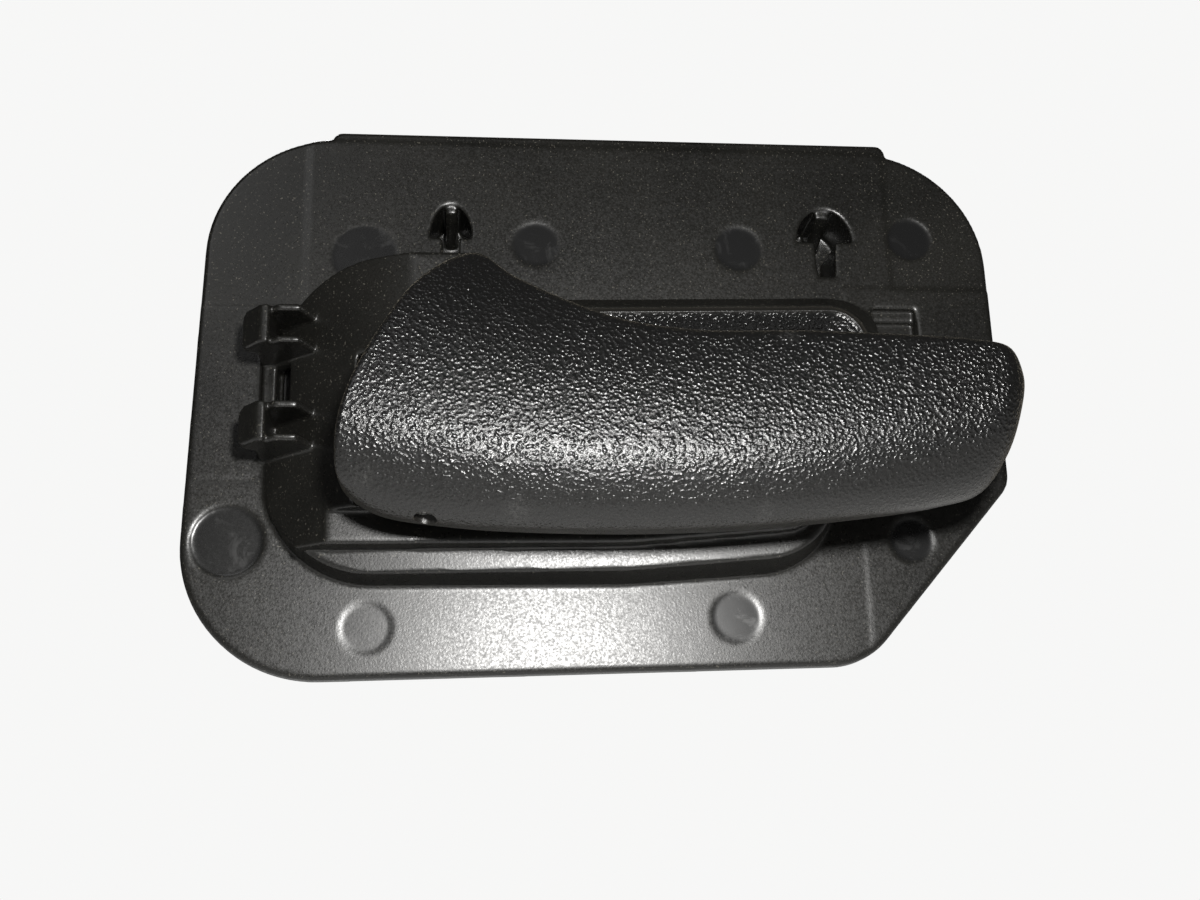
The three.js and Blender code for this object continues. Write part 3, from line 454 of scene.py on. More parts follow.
# the rim, seen from the front
LEVER_CORNERS = [
    (-40.6, -16.6),
    (-40.1, -20.4),
    (-35.5, -24.1),
    (-25.0, -26.1),
    (-8.0, -27.1),
    (11.0, -27.0),
    (30.0, -25.6),
    (46.5, -23.3),
    (53.2, -21.2),
    (56.4, -16.8),
    (58.4, -10.6),
    (59.2, -5.0),
    (57.4, -1.2),
    (52.0, 0.1),
    (43.0, 0.9),
    (27.0, 1.8),
    (11.2, 1.9),
    (1.2, 3.4),
    (-7.2, 6.7),
    (-15.7, 11.6),
    (-20.5, 15.4),
    (-23.3, 14.9),
    (-29.1, 10.2),
    (-33.6, 3.2),
    (-38.3, -6.4),
    (-40.1, -12.2),
]
LEVER_POINTS = 320
LEVER_OUTLINE = spaced(smooth_curve(LEVER_CORNERS), LEVER_POINTS)
LEVER_ENDS = (-40.6, 59.2)
LEVER_REAR = 20.2
LEVER_TOP = 30.5
LEVER_WALL = 2.0
# the crest of the crown: its lowest point (x, z), and how fast it bows upwards on either side
LEVER_CREST = (4.0, -16.0)
LEVER_CREST_BOW = 0.003
# radii of the crown above and below the crest, and of the edges
LEVER_UPPER_RADIUS = 60.0
LEVER_LOWER_RADIUS = 14.0
LEVER_EDGE_RADII = {"left": 0.9, "right": 4.5, "top": 1.6, "bottom": 3.0}
# the line that the front closes on: its ends, its z along the grip and its rise in the wing
LEVER_SPINE_ENDS = (-26, 48)
LEVER_SPINE_LEVEL = -10.8
LEVER_SPINE_RISE = 5.2
# how far below the crest the grain is worn thin, from where to where
LEVER_UNDERSIDE = (4.6, 7.4)
# pale rubbed spots: x, z, radius
LEVER_SCUFFS = [(-36.5, -20.3, 1.7), (-15.5, -24.9, 2.0), (19.5, -25.2, 1.3), (24.0, 0.6, 1.5)]


# ---------------------------------------------------------------- solids as distance fields
#
# The base plate is moulded in one piece, with soft edges and small fillets where its
# walls meet. It is made from signed distances on a grid, negative inside, and then
# skinned. All fields are in millimetres, on axes x, h and z.

STEP = 0.4  # between grid points


def both(a, b, radius=0.0):
    """What lies in both solids, with the edge between them rounded."""
    if radius == 0:
        return np.maximum(a, b)
    corner = np.hypot(np.maximum(a + radius, 0), np.maximum(b + radius, 0))
    return np.minimum(-radius, np.maximum(a, b)) + corner


def either(a, b, radius=0.0):
    """What lies in one or the other, with a fillet between them."""
    return -both(-a, -b, radius)


def without(a, b, radius=0.0):
    """What lies in the first but not the second."""
    return both(a, -b, radius)


def outline_field(points, u, v):
    """Signed distance from a closed outline, on the grid u by v."""
    pu, pv = np.meshgrid(u, v, indexing="ij")
    nearest = np.full(pu.shape, np.inf)
    inside = np.zeros(pu.shape, bool)
    for (au, av), (bu, bv) in zip(points, np.roll(points, -1, axis=0)):
        du, dv = bu - au, bv - av
        t = np.clip(((pu - au) * du + (pv - av) * dv) / (du * du + dv * dv), 0, 1)
        nearest = np.minimum(nearest, (pu - au - t * du) ** 2 + (pv - av - t * dv) ** 2)
        if dv != 0:
            inside ^= ((av > pv) != (bv > pv)) & (pu < au + du * (pv - av) / dv)
    distance = np.sqrt(nearest)
    return np.where(inside, -distance, distance).astype(np.float32)


class Space:
    """The grid, and the simple solids that the base plate is made of."""

    def __init__(self, low, high):
        axes = [np.arange(a, b, STEP, dtype=np.float32) for a, b in zip(low, high)]
        self.xs, self.hs, self.zs = axes
        self.x = self.xs[:, None, None]
        self.h = self.hs[None, :, None]
        self.z = self.zs[None, None, :]

    def outline(self, points):
        """Everything inside an outline of x and z, at any height."""
        return outline_field(points, self.xs, self.zs)[:, None, :]

    def side(self, points):
        """Everything inside an outline of x and h, at any z."""
        return outline_field(np.array(points, float), self.xs, self.hs)[:, :, None]

    def between(self, axis, low, high):
        return np.maximum(low - axis, axis - high)

    def block(self, x, h, z, radius=0.0):
        flat = both(self.between(self.x, *x), self.between(self.h, *h), radius)
        return both(flat, self.between(self.z, *z), radius)

    def stud(self, x, z, radius, h):
        """A round bar that points forward."""
        across = np.hypot(self.x - x, self.z - z) - radius
        return np.maximum(across, self.between(self.h, *h))

    def post(self, x, h, radius, z, edge=0.0):
        """An upright round bar."""
        across = np.hypot(self.x - x, self.h - h) - radius
        return both(across, self.between(self.z, *z), edge)

    def turned(self, profile, axis_x, axis_h):
        """A solid of revolution about an upright axis, from (radius, z) points."""
        radii = np.arange(0, 60, STEP, dtype=np.float32)
        mirrored = np.vstack([profile, [(-r, z) for r, z in profile[::-1]]])
        table = outline_field(mirrored, radii, self.zs)
        reach = np.hypot(self.x - axis_x, self.h - axis_h)[:, :, 0] / STEP
        index = np.minimum(reach.astype(int), len(radii) - 2)
        share = (reach - index)[:, :, None]
        return table[index] * (1 - share) + table[index + 1] * share


def skin(space, field):
    """The surface of a field: its vertices and its four-sided faces."""
    inside = field < 0
    shape = np.array(field.shape)
    cells = np.zeros(shape - 1, np.int8)
    corners = [(i, j, k) for i in (0, 1) for j in (0, 1) for k in (0, 1)]

    def shifted(array, corner):
        return array[tuple(slice(c, c + n - 1) for c, n in zip(corner, shape))]

    for corner in corners:
        cells += shifted(inside, corner)
    cell = np.argwhere((cells > 0) & (cells < 8))
    number = np.full(shape - 1, -1, np.int64)
    number[tuple(cell.T)] = np.arange(len(cell))
    total = np.zeros((len(cell), 3))
    hits = np.zeros(len(cell))
    values = {c: field[tuple((cell + c).T)] for c in corners}
    for a in corners:
        for axis in range(3):
            if a[axis] == 1:
                continue
            b = tuple(v + (k == axis) for k, v in enumerate(a))
            crossed = (values[a] < 0) != (values[b] < 0)
            first, second = values[a][crossed], values[b][crossed]
            point = np.tile(np.array(a, float), (len(first), 1))
            point[:, axis] += first / (first - second)
            total[crossed] += point
            hits[crossed] += 1
    origin = np.array([space.xs[0], space.hs[0], space.zs[0]])
    vertices = origin + (cell + total / hits[:, None]) * STEP
    faces = []
    for axis in range(3):
        ahead = [slice(None)] * 3
        behind = [slice(None)] * 3
        ahead[axis] = slice(1, None)
        behind[axis] = slice(None, -1)
        low, high = inside[tuple(behind)], inside[tuple(ahead)]
        u, v = [k for k in range(3) if k != axis]
        for rising in (True, False):
            edge = np.argwhere((low & ~high) if rising else (~low & high))
            edge = edge[(edge[:, u] > 0) & (edge[:, v] > 0)]
            back_u = np.eye(3, dtype=int)[u]
            back_v = np.eye(3, dtype=int)[v]
            ring = [edge, edge - back_u, edge - back_u - back_v, edge - back_v]
            quad = np.stack([number[tuple(c.T)] for c in ring], axis=1)
            flip = rising == (axis == 1)
            faces.append(quad if flip else quad[:, ::-1])  # h counts against Y
    return vertices, np.concatenate(faces)


# ---------------------------------------------------------------- base plate

FLANGE_CORNERS = [
    (-66.2, -45.6, 21),
    (39.5, -44.0, 12),
    (65.4, -15.2, 5),
    (65.4, 44.0, 21),
    (-63.6, 44.2, 21),
]
TAB_CORNERS = [(-44.6, 40, 0), (49.6, 40, 0), (49.6, 45.5, 1.8), (-44.6, 45.5, 1.8)]
FLANGE_THICK = 3.0
# the flange's face steps down outwards of these points (x, z), and in a groove at this z
LOW_LEFT = (-48.2, 14.3)
LOW_RIGHT = (48.6, 18.7)
MOULD_STEP = 0.18
MOULD_GROOVE = -14.55
# the panel beside the finger cup is a little proud, right of this x and below this z
PANEL = (40.5, 18.7)
PANEL_RISE = 0.07
# round ejector marks: x, z, radius, depth, and how smooth they are
EJECTOR_MARKS = [
    (-38.8, 23.1, 5.4, 0.08, 1.0),
    (-11.0, 25.7, 3.9, 0.14, 1.0),
    (22.8, 25.5, 4.0, 0.14, 1.0),
    (52.4, 27.8, 3.8, 0.2, 1.0),
    (-58.5, -24.1, 5.5, 0.3, 0.8),
    (-37.4, -37.5, 3.9, 0.1, 0.45),
    (19.3, -36.4, 4.0, 0.1, 0.95),
    (48.2, -24.3, 3.6, 0.2, 1.0),
]
HOUSING_CORNERS = [
    (-53.3, -31.1, 17),
    (2.0, -31.2, 60),
    (32.0, -29.2, 13),
    (49.2, 15.9, 7),
    (-18.8, 14.6, 0),
    (-20.4, 17.6, 0),
    (-53.3, 17.6, 17),
]
FACE_CORNERS = [
    (-48.0, -26.6, 0.6),
    (2.0, -26.6, 60),
    (30.0, -24.4, 7),
    (46.4, 13.6, 6.5),
    (-48.0, 12.6, 0.6),
]
LEDGE_HEIGHT = 9.5
LEDGE_DRAFT = 1.0
LEDGE_TILT = 0.05
LEDGE_CANT = 0.03
HOUSING_LOW = -31.0
SHOULDER_FALL = 1.3
SHOULDER_HEIGHT = 11.3
FACE_HEIGHT = 12.5
TOWER_HEIGHT = 19.3
TOWER_DRAFT = 0.7
TOWER_LOW = -21.7
TOWER_RIGHT = -18.8
WALL = 2.2
NOSE_ROOM = 0.6  # room round the lever's nose as it turns
# the ramp's curve from the side: where it starts, its control point and where it ends (x, h)
RAMP = [(-54.2, 2.2), (-44.2, 13.6), (-29.8, 19.4)]
CUP_CORNERS = [(-12.5, -22.4, 7), (31.0, -21.6, 9), (44.6, 12.1, 6.5), (-12.5, 10.9, 7)]
CUP_ENDS = (-12.5, 44.6)
# the line at the cup's bottom: its ends in x, a point on it (x, z) and its slope
CUP_SPINE_ENDS = (3, 29)
CUP_SPINE_MIDDLE = (15, -5.5)
CUP_SPINE_SLOPE = 0.12
CUP_RIM_HEIGHT = 12.8
CUP_LIP = 1.1
CUP_LIP_THICK = 1.6
CUP_DEPTH = 15.0
SLIP = 0.25  # the gap between parts that touch
PIN_X = -28.2
PIN_HEIGHT = 23.0
PIN_RADIUS = 1.5
PIN_HIGH = 3.6
LUG_RADIUS = 2.4
LUG_ROOT = PIN_X - 0.1
LUGS = [(-15.1, -11.7), (2.4, 3.9)]
ARM_SLOT = (-38.6, -16.0)
ARM_SLOT_SPAN = (-6.0, 2.0)
# snap hooks: the low end of each, how far each one rises, and the width of its ribs
HOOK_LOWS = (3.7, -11.6)
HOOK_RISE = 6.2
HOOK_RIB = 1.1
# the shallow pocket beside the cup: its span, low end, and the high end and depth of each step
POCKET_SPAN = (44.8, 52.2)
POCKET_LOW = 8.4
POCKET_STEPS = [(15.1, 1.1), (13.1, 1.9)]
BOSS_RADIUS = 2.9
SCREW_RADIUS = 1.3
SHIELD_BOSSES = [(-43.5, -18.0), (-43.5, 8.5)]
REST_BUFFER = (-15.6, -8.0)
SEAL_INSETS = (2.0, 4.4)
SEAL_DEPTH = 1.1
CLIP_DEPTH = 7.0
CLIP_RISE = 6.0
CLIP_WALL = 1.6
# clip slots: middle, stem's low end, shoulder, half widths of head, stem and fin
CLIP_SLOTS = [(-24.9, 19.6, 26.6, 3.4, 1.4, 0.9), (37.7, 20.8, 27.0, 4.7, 1.8, 1.2)]


def ramp_outline(shift):
    """Everything under the smooth ramp that rises from the flange to the tower, from the side."""
    a, b, c = (np.array(p) + (shift, 0) for p in RAMP)
    curve = [a * (1 - t) ** 2 + 2 * b * t * (1 - t) + c * t * t for t in np.linspace(0, 1, 24)]
    return [(a[0], -20), *curve, (60, c[1]), (60, -20)]


def nose_profile(room):
    """What the lever's nose sweeps about the pin, with some room around it."""
    drop = PIN_HEIGHT - LEVER_REAR
    around = inset(LEVER_OUTLINE, -room)
    around = around[around[:, 0] < PIN_X]
    around = around[np.argsort(around[:, 1])]
    return np.array([(math.hypot(PIN_X - x, drop) + room, z) for x, z in around])


def flange_field(space):
    """The flange with its steps, marks and tab, and the distance from its edge."""

    def beyond(axis, edge):
        """A soft step, from 0 below an edge to 1 above it."""
        return smoothstep(axis, edge - 0.3, edge + 0.3)

    front = np.full((len(space.xs), 1, len(space.zs)), FLANGE_THICK, np.float32)
    left = beyond(-space.x, -LOW_LEFT[0]) * beyond(space.z, LOW_LEFT[1])
    right = beyond(space.x, LOW_RIGHT[0]) * beyond(space.z, LOW_RIGHT[1])
    groove = beyond(-space.x, 54.8) * smoothstep(-abs(space.z - MOULD_GROOVE), -0.45, -0.05)
    panel = beyond(space.x, PANEL[0]) * beyond(-space.z, -PANEL[1])
    front = front - MOULD_STEP * (left + right + 0.7 * groove) + PANEL_RISE * panel
    for x, z, radius, depth, _ in EJECTOR_MARKS:
        away = np.hypot(space.x - x, space.z - z)
        front = front - depth * smoothstep(radius - away, -0.3, 0.35)
    edge = space.outline(rounded_outline(FLANGE_CORNERS))
    tab = both(space.outline(rounded_outline(TAB_CORNERS)), space.h - FLANGE_THICK + 0.2, 0.7)
    plate = both(edge, space.h - front, 0.8)
    return both(either(plate, tab, 0.2), -space.h, 0.25), edge


def housing_field(space, flange):
    """The flange with the hollow housing on it: ledge, face, tower and ramp."""
    outline = space.outline(rounded_outline(HOUSING_CORNERS))
    rise = space.h - FLANGE_THICK
    ledge_front = LEDGE_HEIGHT + LEDGE_TILT * (space.z - HOUSING_LOW) + LEDGE_CANT * space.x
    ledge_draft = LEDGE_DRAFT * rise / (LEDGE_HEIGHT - FLANGE_THICK)
    ledge = both(outline + ledge_draft, space.h - ledge_front, 0.4)
    face = both(space.outline(rounded_outline(FACE_CORNERS)), space.h - FACE_HEIGHT, 0.6)
    column = outline + TOWER_DRAFT * rise / (TOWER_HEIGHT - FLANGE_THICK)
    tower = both(column, space.h - TOWER_HEIGHT, 0.8)
    tower = both(tower, both(TOWER_LOW - space.z, space.x - TOWER_RIGHT, 0.4), 0.6)
    under = space.side(ramp_outline(0))
    ramped = both(either(either(ledge, face, 0.35), tower, 0.4), under, 0.3)
    strip = space.block((-43.3, -30), (0, FACE_HEIGHT), (-26.6, TOWER_LOW + 0.6), 0.4)
    raised = both(either(ramped, strip, 0.3), -space.h)
    sweep = space.turned(nose_profile(NOSE_ROOM), PIN_X, PIN_HEIGHT)
    raised = without(raised, sweep, 0.4)
    shoulder = space.outline(rounded_outline(CUP_CORNERS)) - SLIP
    beside = smoothstep(space.z, 2, 4) * smoothstep(space.x, -17.5, -15.5)
    fall = (space.h - SHOULDER_HEIGHT + SHOULDER_FALL * shoulder) / math.hypot(1, SHOULDER_FALL)
    raised = both(raised, fall - 40 * (1 - beside), 0.2)  # 40 puts the fall out of reach elsewhere
    low = both(outline + WALL + ledge_draft, space.h - LEDGE_HEIGHT + WALL, 0.8)
    high = space.block(
        (-50, TOWER_RIGHT - WALL),
        (-9, TOWER_HEIGHT - WALL),
        (TOWER_LOW + WALL, 14.6),
        0.6,
    )
    high = both(high, outline + WALL + TOWER_DRAFT, 0.6)
    room = both(either(low, high), space.side(ramp_outline(WALL * 1.4)), 0.5)
    room = without(room, space.turned(nose_profile(NOSE_ROOM + WALL), PIN_X, PIN_HEIGHT), 0.5)
    return without(either(flange, raised, 0.35), room, 0.3)


def hook_field(space, low):
    """One snap hook with its two gusset ribs."""
    high = low + HOOK_RISE
    barb = [
        (-54.2, 2.0), (-54.2, 9.3), (-56.4, 9.7), (-56.4, 11.0),
        (-53.4, 14.7), (-52.3, 15.0), (-51.9, 14.6), (-51.9, 2.0),
    ]  # fmt: skip
    gusset = [(-52.2, 2), (-52.2, 13.6), (-50.7, 15), (-47.6, 15), (-47.1, 14.6), (-45, 9.6), (-45, 2)]
    hook = both(space.side(barb), space.between(space.z, low, high), 0.3)
    for z in (low, high):
        slant = (1.13 - abs(space.x + 56.7) - abs(space.z - z)) * 0.7071
        hook = both(hook, slant, 0.2)
    side = space.side(gusset)
    ribs = either(
        both(side, space.between(space.z, low, low + HOOK_RIB), 0.25),
        both(side, space.between(space.z, high - HOOK_RIB, high), 0.25),
    )
    return either(hook, ribs, 0.3)


def slot_outline(x, low, shoulder, head, stem):
    """A clip slot from the front: a half-round head on a tapered stem."""
    turns = np.radians(np.arange(0, 181, 7.5))
    arc = [(x + head * math.cos(a), shoulder + CLIP_RISE * math.sin(a)) for a in turns]
    foot = stem * 0.8
    return arc + [(x - stem, shoulder), (x - foot, low), (x + foot, low), (x + stem, shoulder)]


def clip_fields(space):
    """The blind slots: what they add behind the flange, what they cut, and their fins."""
    shells, pockets, fins = [], [], []
    for x, low, shoulder, head, stem, fin in CLIP_SLOTS:
        top = shoulder + CLIP_RISE + CLIP_WALL
        back = -CLIP_DEPTH - 1.5
        half = head + CLIP_WALL
        shells.append(space.block((x - half, x + half), (back, 1), (low - 1.4, top), 0.5))
        shells.append(space.block((x - head, x + head), (back, back + 3), (top - 1, top + 1.8), 0.4))
        shells.append(space.block((x - 0.8, x + 0.8), (back + 1.5, 1), (top - 1, top + 1), 0.2))
        outline = space.outline(np.array(slot_outline(x, low, shoulder, head, stem)))
        pockets.append(np.maximum(outline, -CLIP_DEPTH - space.h))
        side = [
            (-CLIP_DEPTH - 0.5, shoulder + 6.1),
            (FLANGE_THICK - 0.4, shoulder + 6.1),
            (FLANGE_THICK - 0.4, shoulder + 4.6),
            (FLANGE_THICK - 2.4, shoulder + 3.7),
            (-CLIP_DEPTH - 0.5, shoulder + 2.2),
        ]
        profile = outline_field(np.array(side), space.hs, space.zs)[None, :, :]
        fins.append(both(profile, space.between(space.x, x - fin, x + fin), 0.25))
    return shells, pockets, fins


def base_plate_field(space):
    """The whole moulding: flange, housing, cup seat, hooks, slots, lugs and bosses."""
    flange, edge = flange_field(space)
    body = housing_field(space, flange)
    for x, z in SHIELD_BOSSES:
        body = either(body, space.stud(x, z, BOSS_RADIUS, (0, 8.6)), 0.3)
    cup = space.outline(rounded_outline(CUP_CORNERS))
    seat = both(cup - SLIP, CUP_RIM_HEIGHT - CUP_LIP_THICK - SLIP - space.h)
    web_room = space.block((-23.4, 5), (14, 40), (-30, 12))
    hook_window = space.block((-51.9, -49.5), (0.8, 9), (-4.9, 3.3), 0.2)
    hook_link = space.block((-54.2, -51.9), (2, FLANGE_THICK + 1.1), (-5.6, 3.9), 0.3)
    cuts = [
        seat,
        cup + CUP_LIP - SLIP,
        space.block(ARM_SLOT, (-5, TOWER_HEIGHT + 5), ARM_SLOT_SPAN, 0.5),
        *(
            space.block(POCKET_SPAN, (FLANGE_THICK - depth, 8), (POCKET_LOW, high), 0.2)
            for high, depth in POCKET_STEPS
        ),
        web_room,
        hook_window,
    ]
    for solid in cuts:
        body = without(body, solid, 0.25)
    for low in HOOK_LOWS:
        body = either(body, hook_field(space, low), 0.35)
    body = either(body, hook_link, 0.3)
    shells, pockets, fins = clip_fields(space)
    for solid in shells:
        body = either(body, solid, 0.2)
    for solid in pockets:
        body = without(body, solid)
    for solid in fins:
        body = either(body, solid, 0.2)
    for span in LUGS:
        root = space.block((LUG_ROOT, PIN_X + LUG_RADIUS), (5, PIN_HEIGHT), span)
        ear = either(root, space.post(PIN_X, PIN_HEIGHT, LUG_RADIUS, span, 0.25))
        body = either(body, ear, 0.2)
    ring = np.maximum(edge + SEAL_INSETS[0], -(edge + SEAL_INSETS[1]))
    groove = np.maximum(ring, space.h - SEAL_DEPTH)
    for solid in (
        *(space.stud(x, z, SCREW_RADIUS, (-1, 6.4)) for x, z in SHIELD_BOSSES),
        space.stud(*REST_BUFFER, SCREW_RADIUS, (0, 20)),
        space.post(PIN_X, PIN_HEIGHT, PIN_RADIUS + 0.1, (-30, PIN_HIGH + SLIP)),
        groove,
    ):
        body = without(body, solid)
    return body


def make_base_plate():
    space = Space((-69, -10, -48), (69, 27, 49))
    field = np.ascontiguousarray(base_plate_field(space), np.float32)
    vertices, faces = skin(space, field)
    obj = mesh_object("base_plate_moulding", vertices, faces)
    mark = np.zeros(len(vertices))
    front = (vertices[:, 1] < FLANGE_THICK + 0.2) * (vertices[:, 1] > FLANGE_THICK / 2)
    for x, z, radius, _, smooth in EJECTOR_MARKS:
        away = np.hypot(vertices[:, 0] - x, vertices[:, 2] - z)
        mark = np.maximum(mark, smooth * smoothstep(radius - away, -0.15, 0.35) * front)
    paint(obj, "mark", mark)
    return obj


# ---------------------------------------------------------------- meshes


def mesh_object(name, points, faces):
    """A mesh object from places (x, h, z) in millimetres."""
    mesh = bpy.data.meshes.new(name)
    points = np.asarray(points, float)
    metres = np.stack([points[:, 0], -points[:, 1], points[:, 2] + DATUM_BELOW_MIDDLE], axis=1) * MM
    mesh.from_pydata(metres.tolist(), [], [list(map(int, f)) for f in faces])
    obj = bpy.data.objects.new(name, mesh)
    bpy.context.scene.collection.objects.link(obj)
    return obj


def paint(obj, name, values):
    """Stores one number per vertex for the material to read."""
    layer = obj.data.attributes.new(name, "FLOAT", "POINT")
    layer.data.foreach_set("value", np.asarray(values, np.float32))


def settled(obj):
    """Turns an object's modifiers into plain mesh."""
    graph = bpy.context.evaluated_depsgraph_get()
    mesh = bpy.data.meshes.new_from_object(obj.evaluated_get(graph))
    obj.modifiers.clear()
    obj.data = mesh
    mesh.name = obj.name
    return obj


def loft(name, rings):
    """A closed body through rings of (outline, height); its ends are closed flat."""
    count = len(rings[0][0])
    points = np.concatenate([np.insert(outline, 1, height, axis=1) for outline, height in rings])
    faces = []
    for ring in range(len(rings) - 1):
        for i in range(count):
            j = (i + 1) % count
            back, front = ring * count, (ring + 1) * count
            faces.append((back + i, back + j, front + j, front + i))
    faces.append(range(count - 1, -1, -1))
    faces.append(range((len(rings) - 1) * count, len(rings) * count))
    return mesh_object(name, points, faces), points


def round_fall(way):
    """A bowl that is steepest at its rim."""
    return way * (2 - way)


def eased_fall(way):
    """A bowl that starts less steeply at its rim and is level at its bottom."""
    return 0.75 * way + 1.5 * way**2 - 1.25 * way**3


def bowl(outline, spine, rim, depth, steps, fall):
    """The rings of a bowl behind an outline, which closes on a spine."""
    rings = []
    for k in range(steps):
        way = k / (steps - 0.9)
        rings.append((spine(outline) * way + outline * (1 - way), rim - depth * fall(way)))
    return rings


def cut_away(obj, tool):
    """Cuts one mesh object with another and removes the tool."""
    difference = obj.modifiers.new("cut", "BOOLEAN")
    difference.operation = "DIFFERENCE"
    difference.solver = "EXACT"
    difference.object = tool
    settled(obj)
    bpy.data.objects.remove(tool)
    return obj


def lathe(name, profile, sides, centre, axis):
    """A body of revolution from (radius, along) points about an axis of the frame."""
    turn = Vector((0, 0, 1)).rotation_difference(Vector(axis))
    rings = []
    for radius, along in profile:
        for k in range(sides):
            angle = 2 * math.pi * k / sides
            offset = turn @ Vector((radius * math.cos(angle), radius * math.sin(angle), along))
            rings.append(Vector(centre) + offset * MM)
    mesh = bpy.data.meshes.new(name)
    faces = []
    for ring in range(len(profile) - 1):
        for i in range(sides):
            j = (i + 1) % sides
            a, b = ring * sides, (ring + 1) * sides
            faces.append((a + i, a + j, b + j, b + i))
    faces.append(tuple(range(sides - 1, -1, -1)))
    faces.append(tuple(range((len(profile) - 1) * sides, len(profile) * sides)))
    mesh.from_pydata(rings, [], faces)
    obj = bpy.data.objects.new(name, mesh)
    bpy.context.scene.collection.objects.link(obj)
    return obj


# ---------------------------------------------------------------- lever and cup


def lever_spine(outline):
    """The line that the lever's front closes on: low along the grip, higher in the wing."""
    x = np.interp(outline[:, 0], LEVER_ENDS, LEVER_SPINE_ENDS)
    rise = LEVER_SPINE_RISE * smoothstep(-x, 0, -LEVER_SPINE_ENDS[0])
    return np.stack([x, LEVER_SPINE_LEVEL + rise], axis=1)


def lever_front(points):
    """Height of the lever's front, which is crowned about a crest along its lower half."""
    lowest, level = LEVER_CREST
    above = points[:, 1] - level - LEVER_CREST_BOW * (points[:, 0] - lowest) ** 2
    radius = np.where(above > 0, LEVER_UPPER_RADIUS, LEVER_LOWER_RADIUS)
    return LEVER_TOP - above**2 / (2 * radius)


def lever_edge_radii():
    """How far the front's edge is rounded at each point of the outline."""
    along = np.roll(LEVER_OUTLINE, -4, axis=0) - np.roll(LEVER_OUTLINE, 4, axis=0)
    along /= np.linalg.norm(along, axis=1)[:, None]
    radii = LEVER_EDGE_RADII
    upright = np.where(along[:, 1] > 0, radii["right"], radii["left"])
    level = np.where(along[:, 0] > 0, radii["bottom"], radii["top"])
    return along[:, 1] ** 2 * upright + along[:, 0] ** 2 * level


def lever_rings(wall, edge_steps, steps):
    """The rings of the lever's front inside a wall: side, rounded edge and crown."""
    outline = inset(LEVER_OUTLINE, wall)
    radii = np.maximum(0.3, lever_edge_radii() - wall)
    spine = lever_spine(outline)
    length = np.linalg.norm(spine - outline, axis=1)
    rings = []

    def add_ring(depth, drop, share):
        reach = np.minimum(1, radii * depth / length)
        toward = (reach + (1 - reach) * share)[:, None]
        points = outline * (1 - toward) + spine * toward
        rings.append((points, lever_front(points) - wall - radii * drop))

    for k in range(edge_steps + 1):
        angle = math.pi / 2 * k / edge_steps
        add_ring(1 - math.cos(angle), 1 - math.sin(angle), 0)
    for k in range(1, steps):
        add_ring(1, 0, k / (steps - 0.9))
    return rings


def cup_spine(outline):
    """The line at the bottom of the finger cup."""
    x = np.interp(outline[:, 0], CUP_ENDS, CUP_SPINE_ENDS)
    middle, level = CUP_SPINE_MIDDLE
    return np.stack([x, level + CUP_SPINE_SLOPE * (x - middle)], axis=1)


def make_lever_shell():
    cavity = inset(LEVER_OUTLINE, LEVER_WALL)
    inner = lever_rings(LEVER_WALL, 5, 10)
    outer = lever_rings(0, 10, 30)
    lip = [
        (cavity, LEVER_REAR + 0.4),
        (inset(LEVER_OUTLINE, LEVER_WALL - 0.12), LEVER_REAR + 0.12),
        (inset(LEVER_OUTLINE, LEVER_WALL - 0.4), LEVER_REAR),
        (inset(LEVER_OUTLINE, 0.4), LEVER_REAR),
        (inset(LEVER_OUTLINE, 0.12), LEVER_REAR + 0.12),
        (LEVER_OUTLINE, LEVER_REAR + 0.4),
    ]
    shell, points = loft("lever_grip", [*inner[::-1], *lip, *outer])
    surface = points[:, [0, 2]]
    edge_radii = np.tile(lever_edge_radii(), len(points) // len(cavity))
    turned_away = (lever_front(surface) - points[:, 1]) / edge_radii
    crest = LEVER_CREST[1] + LEVER_CREST_BOW * (points[:, 0] - LEVER_CREST[0]) ** 2
    underside = smoothstep(crest - points[:, 2], *LEVER_UNDERSIDE)
    paint(shell, "grain", smoothstep(-turned_away, -0.9, -0.5) * (1 - 0.3 * underside))
    scuff = np.zeros(len(points))
    for x, z, radius in LEVER_SCUFFS:
        away = np.hypot(points[:, 0] - x, points[:, 2] - z)
        scuff = np.maximum(scuff, smoothstep(radius - away, -0.6, radius))
    paint(shell, "scuff", scuff * (points[:, 1] > LEVER_REAR + 1))
    radius = PIN_RADIUS + 0.15
    hole = lathe("pin_hole", [(radius, -30), (radius, 10)], 48, place(PIN_X, PIN_HEIGHT, 0), (0, 0, 1))
    return cut_away(shell, hole)


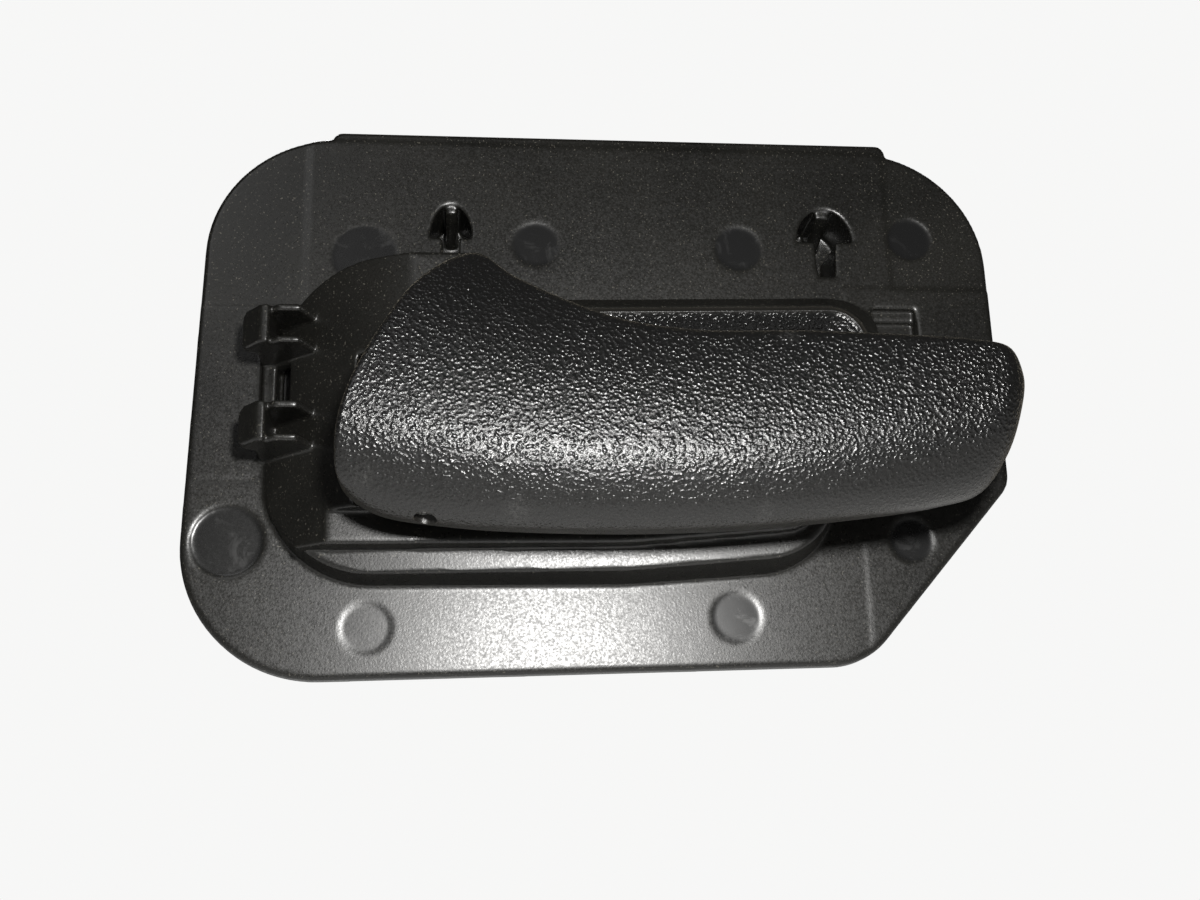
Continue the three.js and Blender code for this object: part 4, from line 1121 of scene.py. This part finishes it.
def make_finger_cup():
    cup = spaced(rounded_outline(CUP_CORNERS), 260)
    back = CUP_RIM_HEIGHT - CUP_LIP_THICK
    body = inset(cup, CUP_LIP)
    outer = bowl(body, cup_spine, back + 0.5, CUP_DEPTH + 0.6, 20, round_fall)
    inner = bowl(inset(cup, 1.25), cup_spine, CUP_RIM_HEIGHT - 0.05, CUP_DEPTH - 0.9, 34, eased_fall)
    lip = [
        (body, back + 0.05),
        (inset(cup, CUP_LIP - 0.1), back),
        (inset(cup, 0.25), back),
        (inset(cup, 0.06), back + 0.08),
        (cup, back + 0.3),
        (cup, CUP_RIM_HEIGHT - 1.3),
        (inset(cup, 0.08), CUP_RIM_HEIGHT - 1.15),
        (inset(cup, 0.55), CUP_RIM_HEIGHT - 0.55),
        (inset(cup, 1.08), CUP_RIM_HEIGHT - 0.04),
        (inset(cup, 1.15), CUP_RIM_HEIGHT),
        (inset(cup, 1.22), CUP_RIM_HEIGHT - 0.02),
    ]
    cup_piece, points = loft("finger_cup_moulding", [*outer[::-1], *lip, *inner])
    inside = np.arange(len(points)) >= (len(outer) + len(lip)) * len(cup)
    grain = smoothstep(-points[:, 1], 0.05 - CUP_RIM_HEIGHT, 0.25 - CUP_RIM_HEIGHT) * inside
    paint(cup_piece, "grain", grain)
    return cup_piece


# ---------------------------------------------------------------- other pieces


def refined(node, name, edge, sharp=32.0):
    """A copy of a CAD node's mesh with its edges rounded."""
    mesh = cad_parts[node].data.copy()
    obj = bpy.data.objects.new(name, mesh)
    bpy.context.scene.collection.objects.link(obj)
    grid = bmesh.new()
    grid.from_mesh(mesh)
    bmesh.ops.remove_doubles(grid, verts=grid.verts, dist=0.002 * MM)
    bmesh.ops.dissolve_limit(grid, angle_limit=math.radians(0.6), verts=grid.verts, edges=grid.edges)
    grid.to_mesh(mesh)
    grid.free()
    mesh.materials.clear()
    bevel = obj.modifiers.new("edges", "BEVEL")
    bevel.width = edge * MM
    bevel.segments = 3
    bevel.limit_method = "ANGLE"
    bevel.angle_limit = math.radians(sharp)
    return settled(obj)


def follow(obj, body):
    """Fixes a piece to a body; the spring's piece stays unattached, with its place baked into its mesh.
    """
    if body == "spring":
        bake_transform(obj)
    else:
        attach(obj, body)


def finish(obj, body, node, slot, materials, angle=40.0):
    """Gives a piece its smooth shading, its material and its place in the frame."""
    obj.data.materials.clear()
    obj.data.materials.append(materials[slot])
    obj.data.shade_smooth()
    obj.data.set_sharp_from_angle(angle=math.radians(angle))
    weights = obj.modifiers.new("weights", "WEIGHTED_NORMAL")
    weights.keep_sharp = True
    settled(obj)
    follow(obj, body)
    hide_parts(node)


# node: body, edge radius, material slot
ROUNDED_NODES = {
    "lever_core": ("lever", 0.25, "core_plastic"),
    "pivot_pin": ("base", 0.08, "pin_steel"),
    "pin_clip": ("base", 0.08, "spring_steel"),
    "lower_bush": ("lever", 0.1, "bush_plastic"),
    "upper_bush": ("lever", 0.1, "bush_plastic"),
    "lower_thrust_washer": ("base", 0.08, "bush_plastic"),
    "upper_thrust_washer": ("base", 0.08, "bush_plastic"),
    "return_spring": ("spring", 0.05, "spring_steel"),
    "rod_clip": ("rod_swivel", 0.2, "clip_plastic"),
    "rod_clip_retainer": ("lever", 0.08, "spring_steel"),
    "rest_buffer": ("base", 0.15, "buffer_rubber"),
    "open_buffer": ("base", 0.3, "buffer_rubber"),
    "rear_seal": ("base", 0.15, "seal_foam"),
    "rear_shield": ("base", 0.2, "core_plastic"),
    "shield_screw_lower": ("base", 0.08, "screw_steel"),
    "shield_screw_upper": ("base", 0.08, "screw_steel"),
    "lever_screw_left": ("lever", 0.08, "screw_steel"),
    "lever_screw_right": ("lever", 0.08, "screw_steel"),
}


add_studio()
materials = make_materials()
finish(make_base_plate(), "base", "base_plate", "plate_plastic", materials, 180)
finish(make_finger_cup(), "base", "finger_cup", "grained_plastic", materials, 60)
finish(make_lever_shell(), "lever", "lever_shell", "grained_plastic", materials, 60)
for node, (body, edge, slot) in ROUNDED_NODES.items():
    finish(refined(node, node + "_piece", edge), body, node, slot, materials)
